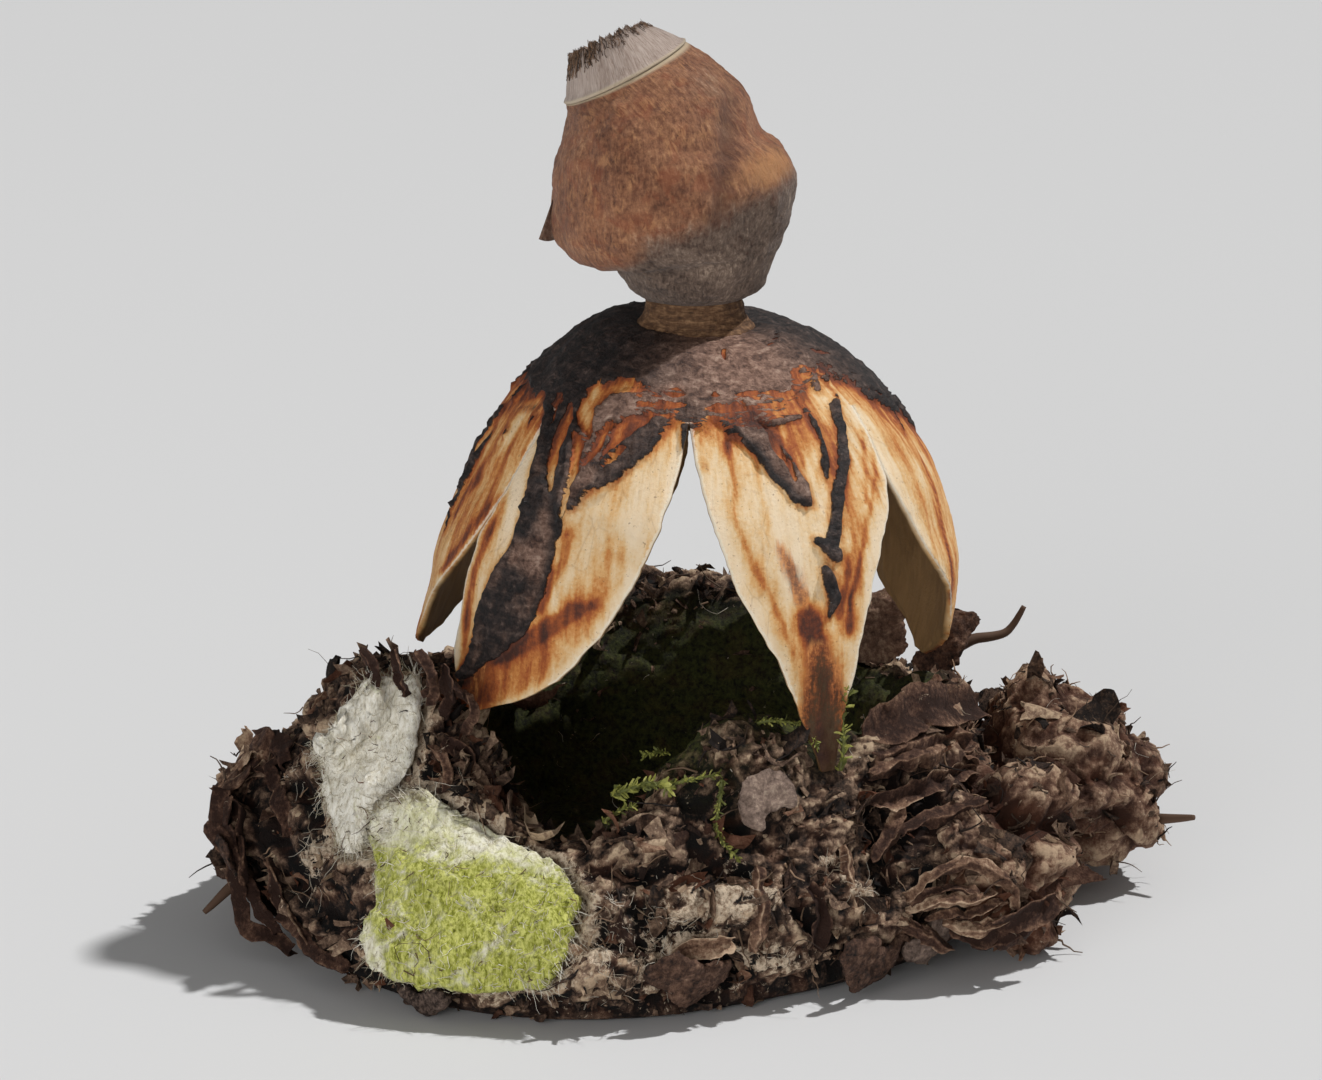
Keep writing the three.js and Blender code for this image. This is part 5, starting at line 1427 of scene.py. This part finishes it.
# Larger dead leaves folded into the litter: places along each, half width, how deeply it is folded (cupped
# outwards where negative), shade.
FOLDED_LEAVES = [
    ([(-30.7, -7.4, 9.8), (-31.3, -7.8, 7.6), (-30.3, -9, 5.4), (-29.6, -10.4, 3.4), (-28.4, -11.8, 1.6),
      (-25.8, -13.4, 0.9)], 0.75, 1.1, 0.16),
    ([(-30.4, -7, 9.2), (-29.6, -8.4, 8.2), (-29, -9.8, 6.4), (-28.8, -10.8, 4.4)], 0.7, -0.7, 0.3),
    ([(-30.8, -4.8, 7.6), (-30.9, -4.2, 9), (-30, -3.6, 10.3), (-28.4, -2.6, 11.2),
      (-26.6, -2, 11.8)], 1.1, 0.3, 0.5),
    ([(-31.4, -5.6, 6.6), (-31, -5.8, 8.6), (-29.6, -5.4, 10.2), (-27.4, -4.4, 11)], 1.2, 0.3, 0.3),
    ([(-30.4, -3, 9.6), (-29.2, -3.4, 10.6), (-27.6, -3.6, 11.2)], 1.7, 0.2, 0.42),
    ([(-31, -3.6, 7.2), (-30, -3.8, 9.2), (-28.6, -3.8, 10.4)], 1.7, 0.2, 0.2),
    ([(-31.6, -4.4, 7.8), (-31.2, -4.4, 9.4), (-30, -4.2, 10.4)], 1.3, 0.1, 0.3),
    ([(-30.3, -7.4, 9), (-30.5, -7.8, 7.4), (-29.9, -8.6, 5.8)], 1, 0.2, 0.12),
    ([(-29.2, -1, 11.4), (-27.6, -3.4, 11.6), (-26.4, -6, 11)], 0.9, 0.8, 0.12),
    ([(-28, -5.2, 10.6), (-27.4, -7.4, 9.8), (-26.6, -9.4, 9), (-26.2, -10.8, 7.6)], 0.6, 1.2, 0.2),
    ([(-27.4, -11.4, 6.4), (-26.6, -12.8, 5), (-25.6, -14.2, 3.6), (-24.4, -15.8, 2.2)], 0.6, -0.8, 0.34),
    ([(-29.2, -9.4, 4.2), (-28.2, -11, 3), (-27, -12.6, 1.8)], 0.7, 0.9, 0.1),
    ([(-26.8, -13.4, 3.2), (-24.6, -16.2, 1.9), (-22, -18.6, 1.4)], 0.7, 0.8, 0.22),
    ([(-16.8, -14.6, 17.6), (-17, -15, 19.6), (-17.6, -14.9, 21.4)], 0.42, 0.9, 0.16),
    ([(-15.7, -14.7, 16.8), (-15.5, -15.2, 18.6), (-15.8, -15, 20.4)], 0.45, -0.9, 0.1),
    ([(-14.8, -14.8, 16), (-14.2, -15.2, 17.4), (-14.4, -15, 18.8)], 0.4, 0.8, 0.24),
    ([(-18.4, -13.8, 18), (-18.9, -14.6, 19.8), (-18.7, -14.7, 21.4)], 0.4, -0.8, 0.14),
    ([(-20.2, -12.6, 18.2), (-20.4, -12.8, 19.6), (-21.2, -12.6, 20.8)], 0.4, 0.8, 0.1),
    ([(-17.2, -14.6, 18.4), (-15.6, -15, 18.9), (-14.4, -14.8, 17.8)], 0.45, 1.1, 0.1),
    ([(-22.6, -10.8, 16.4), (-21.6, -11.6, 17.8), (-20.4, -12, 18.8)], 0.5, 0.9, 0.15),
    ([(-15.6, -15.6, 16), (-14.4, -15.9, 14.6), (-14.2, -16.2, 13)], 0.55, -0.7, 0.24),
    ([(-16.6, -15.9, 15.4), (-15.6, -16.3, 14.2), (-15.4, -16.5, 12.9)], 0.4, 1, 0.4),
    ([(15.6, -17, 3.8), (18.2, -17.2, 3.8), (20.6, -16.6, 4.4), (22.6, -15.2, 5.4)], 0.9, -0.3, 0.36),
    ([(17.2, -16.9, 2.6), (19.6, -16.6, 3), (21.6, -15.6, 4)], 0.7, 0.6, 0.2),
    ([(12.6, -17.9, 4.8), (14.6, -17.4, 3.6), (16.4, -16.8, 2.2)], 0.6, 1, 0.3),
    ([(10.6, -12.6, 15.2), (13.4, -9.8, 15.6), (16.4, -5.2, 14.8), (18.6, -1.6, 13.4)], 1.6, -0.35, 0.46),
    ([(11, -13.4, 14), (14, -10.6, 14.2), (17.4, -6.2, 13.4)], 0.8, 0.8, 0.3),
    ([(10.6, -14.6, 13.2), (14.2, -11.2, 13.2), (18, -5.6, 12.2)], 0.7, 1, 0.42),
    ([(10.8, -15.6, 11.6), (14, -13, 12), (17.6, -8.4, 11.4)], 0.7, -0.8, 0.5),
    ([(12.6, -16.2, 9.6), (15.4, -14.8, 10.6), (18.2, -13.8, 10.8)], 0.5, 1.2, 0.24),
    ([(11, -16.6, 8.2), (12.4, -15.6, 9.6), (13.2, -14.2, 11.2)], 0.7, 1, 0.34),
    ([(9.2, -17.6, 9.4), (9.4, -18, 7.2), (9.8, -18, 5)], 0.6, 0.9, 0.5),
    ([(-1.6, -23.8, 4.6), (0.2, -23.8, 4.9), (2.2, -23.2, 5.2)], 0.8, -0.5, 0.9),
    ([(3.4, -20.8, 9), (3.8, -22.2, 6.8), (3.6, -22.8, 4)], 0.6, 0.8, 0.5),
    ([(6.6, -20, 7.8), (7.6, -20.6, 5.6), (7.4, -20.4, 3.4)], 0.6, -0.8, 0.2),
    ([(-9.6, -23.6, 5), (-6.8, -23.8, 4.4), (-4, -24, 3.4)], 0.6, 0.8, 0.7),
    ([(13, -17.2, 6), (15, -17.5, 7.7), (17.6, -17.3, 8), (19.6, -16.7, 6.6),
      (20.2, -16.4, 5)], 0.42, 1.2, 0.5),
    ([(13.2, -17.4, 5.6), (15.4, -17.8, 6.7), (17.4, -17.4, 6.8)], 0.3, 1.4, 0.34),
    ([(13, -17.5, 5.2), (15.8, -17.9, 6), (18.6, -17.2, 6.1)], 0.42, 1.1, 0.72),
    ([(14.2, -17.6, 4.8), (16.8, -17.8, 5), (19.2, -16.9, 5.3)], 0.34, 1.3, 0.4),
    ([(15.4, -17.5, 4.1), (17.4, -17.5, 4.2), (19, -16.9, 4.4)], 0.4, 1.1, 0.58),
]


def make_folded_leaves():
    rows, columns = 37, 11
    n = rows * columns
    t, side = np.linspace(0, 1, rows)[:, None], np.linspace(-1, 1, columns)[None]
    points, faces, shades = [], [], []
    for k, (way, half, fold, shade) in enumerate(FOLDED_LEAVES):
        line = curve(way, t[:, 0])
        line = line + 0.6 * drift(line + 9 * k, 2.4, 3, 3 * k)
        long = np.linalg.norm(np.diff(line, axis=0), axis=1).sum()
        along = unit(np.gradient(line, axis=0))
        out = line - np.array([0, 0, 4.0])
        out = unit(out - (out * along).sum(axis=1, keepdims=True) * along)
        across = np.cross(out, along)
        edge = np.abs(side)
        strip = np.stack([t * long + 0 * side, np.sign(side) * 5 + 0 * t, 7.0 * k + 0 * t * side], -1)
        strip = strip.reshape(-1, 3)
        tear = rough(strip, 1.3, 4, 77).reshape(rows, columns)
        width = half * (np.sin(np.pi * (0.06 + 0.88 * t)) ** 0.5)
        width = width * (1 + 0.7 * tear * edge**2 * min(1, 0.7 / half))
        crinkle = rough(strip * (1, 0.3, 1) + 40, 1.1, 3, 79).reshape(rows, columns)
        rise = 0.05 - fold * half * (edge**1.25 - 0.4) + 0.4 * min(half, 0.8) * crinkle * edge
        sheet = line[:, None] + across[:, None] * (width * side)[..., None] + out[:, None] * rise[..., None]
        flat = sheet.reshape(-1, 3)
        flat = flat + 0.4 * drift(flat, 1.6, 3, 60)
        flat = flat + 0.07 * drift(flat, 0.35, 2, 64)
        normal = np.repeat(out, columns, axis=0)
        points += [flat + 0.06 * normal, flat - 0.06 * normal]
        faces.append(sheet_faces(rows, columns) + 2 * n * k)
        # Painted highlights and shade: fold ridges and torn edges are painted paler than the sheet between,
        # and the insides of leaves cupped outwards darker.
        worn = 0.3 * hill((side, 0.16)) * (fold > 0) + min(0.25, 0.15 / half) * edge**6
        worn = worn - 0.3 * (fold < 0) * (1 - side**2) + 0.3 * rough(strip, 1.8, 3, 81).reshape(rows, columns)
        shades.append(np.tile((shade - 0.08 + worn + 0.2 * tear).ravel(), 2))
    level = np.zeros(2 * n * len(FOLDED_LEAVES))
    piece(
        "folded_leaves", np.concatenate(points), np.concatenate(faces).tolist(),
        litter_finish("folded_leaf", (16, 11, 9), (78, 57, 46), (140, 110, 88), (212, 184, 154)),
        soft=50,
        fields={"shade": np.concatenate(shades), "rust": level + 0.2, "green": level, "mould": level},
    )


# ---- felts, scraps, twigs and moss ---------------------------------------------------------------


# The upper mat's outline from its foot to its top: height, left edge, right edge.
UPPER_FELT = [
    (8.4, -22.4, -21.4), (10.0, -22.9, -20.8), (11.6, -23.6, -19.8), (13.2, -24.4, -18.3),
    (14.8, -24.1, -17.8), (16.4, -22.9, -17.6), (17.6, -21.6, -17.7), (18.6, -20.8, -18.6),
]


def lower_felt(points, share, ground):
    """The lower mat's places on the basket and the ways out of it; it spreads to the left at its top."""
    turn = np.arctan2(points[:, 1], points[:, 0])
    turn = turn - 0.17 * smooth(share, 0.35, 0.95) * smooth(np.degrees(turn) % 360, 244, 226)
    radius = np.hypot(points[:, 0], points[:, 1])
    moved = np.stack([radius * np.cos(turn), radius * np.sin(turn), points[:, 2]], -1)
    found = [ground.find_nearest(Vector(p)) for p in moved]
    return (np.array([tuple(f[k]) for f in found]) for k in (0, 1))


def upper_felt(points, quads, share):
    """The upper mat's places on the clods and its way out; it is broad at its top and hangs down the clod."""
    clods = tree_of("litter_basket", "clod_left_crest", "clod_left")
    level = (share * 15.99).astype(int)
    left, right = (np.array([pick(points[level == k, 0]) for k in range(16)]) for pick in (np.min, np.max))
    steps = (np.arange(16) + 0.5) / 16
    across = (points[:, 0] - np.interp(share, steps, left)) / np.interp(share, steps, right - left)
    heights, left_edge, right_edge = np.array(UPPER_FELT).T
    height = heights[0] + share * (heights[-1] - heights[0])
    x = np.interp(height, heights, left_edge)
    x = x + across.clip(-0.1, 1.1) * (np.interp(height, heights, right_edge) - x)
    found = [clods.ray_cast(Vector((a, -60, b)), Vector((0, 1, 0)))[0] for a, b in zip(x, height)]
    foot = np.array([tuple(f or (a, -13, b)) for f, a, b in zip(found, x, height)])
    # It bridges the dips between the clods instead of following them.
    for step in range(90):
        eased = relax(foot, quads, 1)[:, 1]
        foot[:, 1] = np.minimum(foot[:, 1], eased) if step < 60 else eased
    return foot, np.array([0.0, -1.0, 0.15])


def make_felts():
    """The two mats of pale threads, with frayed rims."""
    random = np.random.default_rng(5)
    finish = felt_finish()
    thread = thread_finish("felt_thread", (168, 156, 126), (240, 235, 222))
    brown = thread_finish("felt_rootlet", (40, 28, 22), (120, 92, 70))
    ground = tree_of("litter_basket")
    for name, green in (("felt_upper", 0.0), ("felt_lower", 1.0)):
        points, quads = node_copy([name], FINE_VOXEL, 3)
        middle = points.mean(axis=0)
        facing = middle * (1, 1, 0) / np.linalg.norm(middle[:2])
        low, high = points[:, 2].min(), points[:, 2].max()
        share = (points[:, 2] - low) / (high - low)
        found = [ground.find_nearest(Vector(p)) for p in points]
        above = np.array([(Vector(p) - f[0]).dot(f[1]) for p, f in zip(points, found)])
        foot, way = lower_felt(points, share, ground) if green else upper_felt(points, quads, share)
        points = relax(foot + way * above[:, None], quads, 4)
        normals = normals_of(points, quads)
        rise = 0.3 * rough(points, 2.6, 2, 3) + 0.2 * rough(points * (1, 1, 0.5), 0.8, 4, 5) + 0.25
        ragged = 1.0 * rough(points, 2.6, 3, 15) + 0.5 * rough(points * (1, 1, 0.5), 0.9, 3, 16)
        sideways = normals - (normals @ facing)[:, None] * facing
        points = points + normals * rise[:, None] + sideways * ragged[:, None]
        spot = surface_distance(points, middle)
        worn = (0.35 + 0.15 * green) * smooth(spot, 0.72, 1.0) + 0.4 * green * smooth(share, 0.8, 0.98)
        margin = smooth(share, 0.58, 0.86) + 0.7 * smooth(points[:, 0] + 0.25 * points[:, 2], -17.6, -19.4)
        piece(
            name + "_mat", points, quads.tolist(), finish, replaces=[name], fields={
                "green": green * (0.9 - 0.85 * margin.clip(0, 1)), "worn": worn, "tinge": green + 0 * worn,
            },
        )
        # Loose ends fray outwards all round the rim, and hang down at the foot.
        rim = lambda m: smooth(surface_distance(m, middle), 0.55, 0.9)
        place, normal = surface_spots(points, quads, 560, random, rim)
        outwards = place - middle
        outwards = unit(outwards - (outwards @ facing)[:, None] * facing)
        outwards = unit(outwards + 0.4 * random.normal(size=place.shape) - np.array([0, 0, 0.5]))
        t = np.linspace(0, 1, 6)[:, None]
        ends = [
            q + w * r * t + facing * (0.15 * t - 0.1 * t**2) + random.normal(0, 0.04, (6, 3)) * r * t
            for q, w, r in zip(place, outwards, random.gamma(3.0, 0.3, len(place)).clip(0.3, 2.2))
        ]
        radii = random.uniform(0.014, 0.03, len(ends))
        tubes(name + "_fringe", ends, radii, thread, random.random(len(ends)) ** 1.5)
        edge = lambda m: 0.1 + smooth(surface_distance(m, middle), 0.6, 1.0)
        for kind, count, material, radii, reach, weight in (
            ("_threads", 1150, thread, (0.014, 0.028), 0.16, None),
            ("_rootlets", 100, brown, (0.02, 0.05), 0.22, edge),
        ):
            place, normal = surface_spots(points, quads, count, random, weight)
            seen = normal @ facing > 0.1
            place, normal = place[seen], normal[seen]
            size = random.gamma(3.0, reach, len(place)).clip(0.2, 1.6)
            fibres(name + kind, place, normal, size, radii, material, random, tilt=0.25, curl=0.8)


def surface_distance(points, middle):
    """How far each point lies from the middle of its piece, as a share of the farthest."""
    gap = np.linalg.norm(points - middle, axis=1)
    return gap / gap.max()


def make_scraps():
    """The larger chips of bark and bits of leaf, torn and grained."""
    bark = litter_finish("bark_chip", (40, 30, 26), (108, 90, 80), (150, 128, 114), (200, 178, 158), 0.35)
    leaf = litter_finish("leaf_scrap", (22, 15, 12), (82, 58, 46), (128, 98, 80), (180, 150, 124))
    shades = {"bark_chip_front": 0.55, "bark_chip_foot": 0.3, "leaf_scrap_left": 0.2, "leaf_scrap_gap": 0.6}
    for k, row in enumerate(frame["record"]["subparts"]):
        name = row["node"]
        if not name.startswith(("bark_chip", "leaf_scrap")):
            continue
        points, quads = node_copy([name], FINE_VOXEL, 2)
        rise = 0.4 * rough(points, 1.7, 2, k) + 0.3 * (ridged(points * (1, 1, 1.6), 1.1, 3, k + 5) - 0.5)
        points = points + normals_of(points, quads) * rise[:, None] + 0.3 * drift(points, 1.4, 3, 30 + k)
        points[:, 2] = np.maximum(points[:, 2], CLEAR)
        shade = shades.get(name, 0.35) + 0.12 * rough(points, 1.2, 2, k + 9)
        material, slot = (bark, "bark") if name.startswith("bark") else (leaf, "leaf")
        piece(
            name + "_torn", points, quads.tolist(), material, replaces=[name], fields={"shade": shade},
        )


STRANDS = {
    "twig_curled": ([(17.0, 12.0, 13.2), (19.0, 12.6, 14.0), (21.4, 13.2, 14.4), (22.6, 13.5, 16.2)], 0.5),
    "root_right": ([(29.5, 3.0, 4.5), (31.5, 1.5, 4.8), (33.2, 0.6, 5.2)], 0.5),
    "root_left": ([(-29.0, -6.0, 3.6), (-30.8, -7.2, 2.6), (-32.0, -8.0, 1.6)], 0.5),
}


def make_twigs():
    finish = thread_finish("twig_bark", (62, 44, 34), (120, 92, 72))
    for name, (way, radius) in STRANDS.items():
        line = curve(way, np.linspace(0, 1, 24))
        line += 0.08 * drift(line, 1.2, 2)
        tubes(name + "_bark", [line], [radius], finish, [0.4], sides=10, replaces=[name])


MOSS = {
    "moss_shoot": [(8.9, -15.2, 13.6), (9.1, -14.9, 15.4), (9.0, -14.6, 17.2), (9.2, -14.4, 18.6)],
    "moss_strand": [(-5.4, -19.4, 13.4), (-4.2, -19.9, 14.0), (-3.0, -19.7, 14.3), (-1.8, -19.4, 13.8)],
}


def moss_sprig(name, way, random, finish, leaf=0.6, spacing=0.2, replaces=()):
    """A shoot with small pointed leaves in a spiral up its stem."""
    long = np.linalg.norm(np.diff(way, axis=0), axis=1).sum()
    line = curve(way, np.linspace(0, 1, max(int(long / spacing), 6)))
    tubes(name + "_stem", [line], [0.14], finish, [0.35], sides=6, replaces=replaces)
    up = np.repeat(unit(np.gradient(line, axis=0)), 3, axis=0)
    angle = (2.4 * np.arange(len(up)) + random.normal(0, 0.3, len(up)))[:, None]
    side = unit(np.cross(up, [0.2, 0.9, 0.35]))
    outwards = side * np.cos(angle) + np.cross(up, side) * np.sin(angle)
    along = unit(outwards * 0.75 + up * 0.66 + 0.28 * random.normal(size=up.shape))
    across = unit(np.cross(along, outwards))
    out = np.cross(along, across)
    size = leaf * random.uniform(0.5, 1.45, len(up))
    places = np.repeat(line, 3, axis=0) + along * (size / 2)[:, None]
    shade = random.uniform(0.2, 0.9, len(up))
    flakes(
        name + "_leaves", places, out, size, finish, "moss", random, {"shade": shade},
        grain=(5, 3), bend=0.22, thick=0.06, narrow=0.34, lift=0.0, point=0.9, turned=(along, across, out),
    )


# Smaller sprigs without a node of their own.
SPRIGS = [
    [(-5.9, -18.8, 11.4), (-5, -19, 12.2), (-4.1, -19.2, 12.6)],
    [(-5.2, -18.4, 13), (-3.6, -18.8, 13.7), (-2, -18.9, 13.8)],
    [(-2, -18.8, 13.8), (-0.6, -18.9, 14.2), (1.2, -18.6, 14.5)],
    [(1.4, -18.8, 14.2), (1.3, -19, 12.9), (1.1, -19.5, 11.7), (1.4, -20.1, 10.7), (2.4, -20.4, 9.6)],
    [(2.8, -15.2, 16.4), (4.4, -15.6, 17), (6.4, -15.4, 16.6), (7.4, -15.8, 15.4)],
    [(-2, -15.4, 14.8), (-2.6, -16.4, 15.2), (-3.4, -17, 15.2)],
]


def make_moss():
    random = np.random.default_rng(9)
    finish = moss_finish()
    for name, way in MOSS.items():
        moss_sprig(name, way, random, finish, replaces=[name])
    for k, way in enumerate(SPRIGS):
        moss_sprig(f"moss_sprig_{k + 1}", way, random, finish, leaf=0.34, spacing=0.15)


# ---- stage, light and camera ---------------------------------------------------------------------


def aim(obj, target):
    obj.rotation_euler = (target - obj.location).to_track_quat("-Z", "Y").to_euler()


def set_stage():
    """A pale floor, white surroundings, a sun from the upper right, a soft lamp in front, and the camera."""
    middle = Vector(AXIS.tolist())
    bpy.ops.mesh.primitive_plane_add(size=4.0, location=(0, 0, middle.z - 0.0001))
    floor = bpy.context.object
    floor.name = "floor"
    p = Paint("floor_paper")
    p.finish(tone(214, 214, 214), 0.9)
    floor.data.materials.append(p.material)

    world = bpy.data.worlds.new("studio")
    bpy.context.scene.world = world
    world.use_nodes = True
    background = world.node_tree.nodes["Background"]
    background.inputs["Color"].default_value = (1, 1, 1, 1)
    background.inputs["Strength"].default_value = 0.17

    def light(kind, name, energy, place, **settings):
        data = bpy.data.lights.new(name, kind)
        data.energy = energy
        for key, value in settings.items():
            setattr(data, key, value)
        obj = linked(name, data)
        obj.location = middle + Vector(place)
        aim(obj, middle + Vector((0, 0, 0.03)))

    bearing, height = math.radians(18), math.radians(60)
    sunward = (
        math.cos(height) * math.cos(bearing), math.cos(height) * math.sin(bearing), math.sin(height) + 0.03,
    )
    light("SUN", "key", 2.75, sunward, angle=math.radians(2))
    light("AREA", "front_fill", 4.6, (-0.34, -0.76, 0.1), shape="SQUARE", size=0.6)

    camera = linked("camera", bpy.data.cameras.new("camera"))
    bpy.context.scene.camera = camera
    camera.data.lens, camera.data.sensor_width = 120, 36
    tilt, distance = math.radians(15), 0.288
    target = Vector((AXIS + np.array([-2.35, 0, 24.5]) * MM).tolist())
    camera.location = target - distance * Vector((0, math.cos(tilt), -math.sin(tilt)))
    camera.rotation_euler = (math.pi / 2 - tilt, 0, 0)
    bpy.context.scene.view_settings.view_transform = "Standard"


make_star()
make_sac()
make_sac_flap()
make_fringe(*make_mouth())
make_stalk()
make_felts()
bed_points, bed_quads = make_bed()
scatter_litter(bed_points, bed_quads)
make_folded_leaves()
make_scraps()
make_twigs()
make_moss()
set_stage()
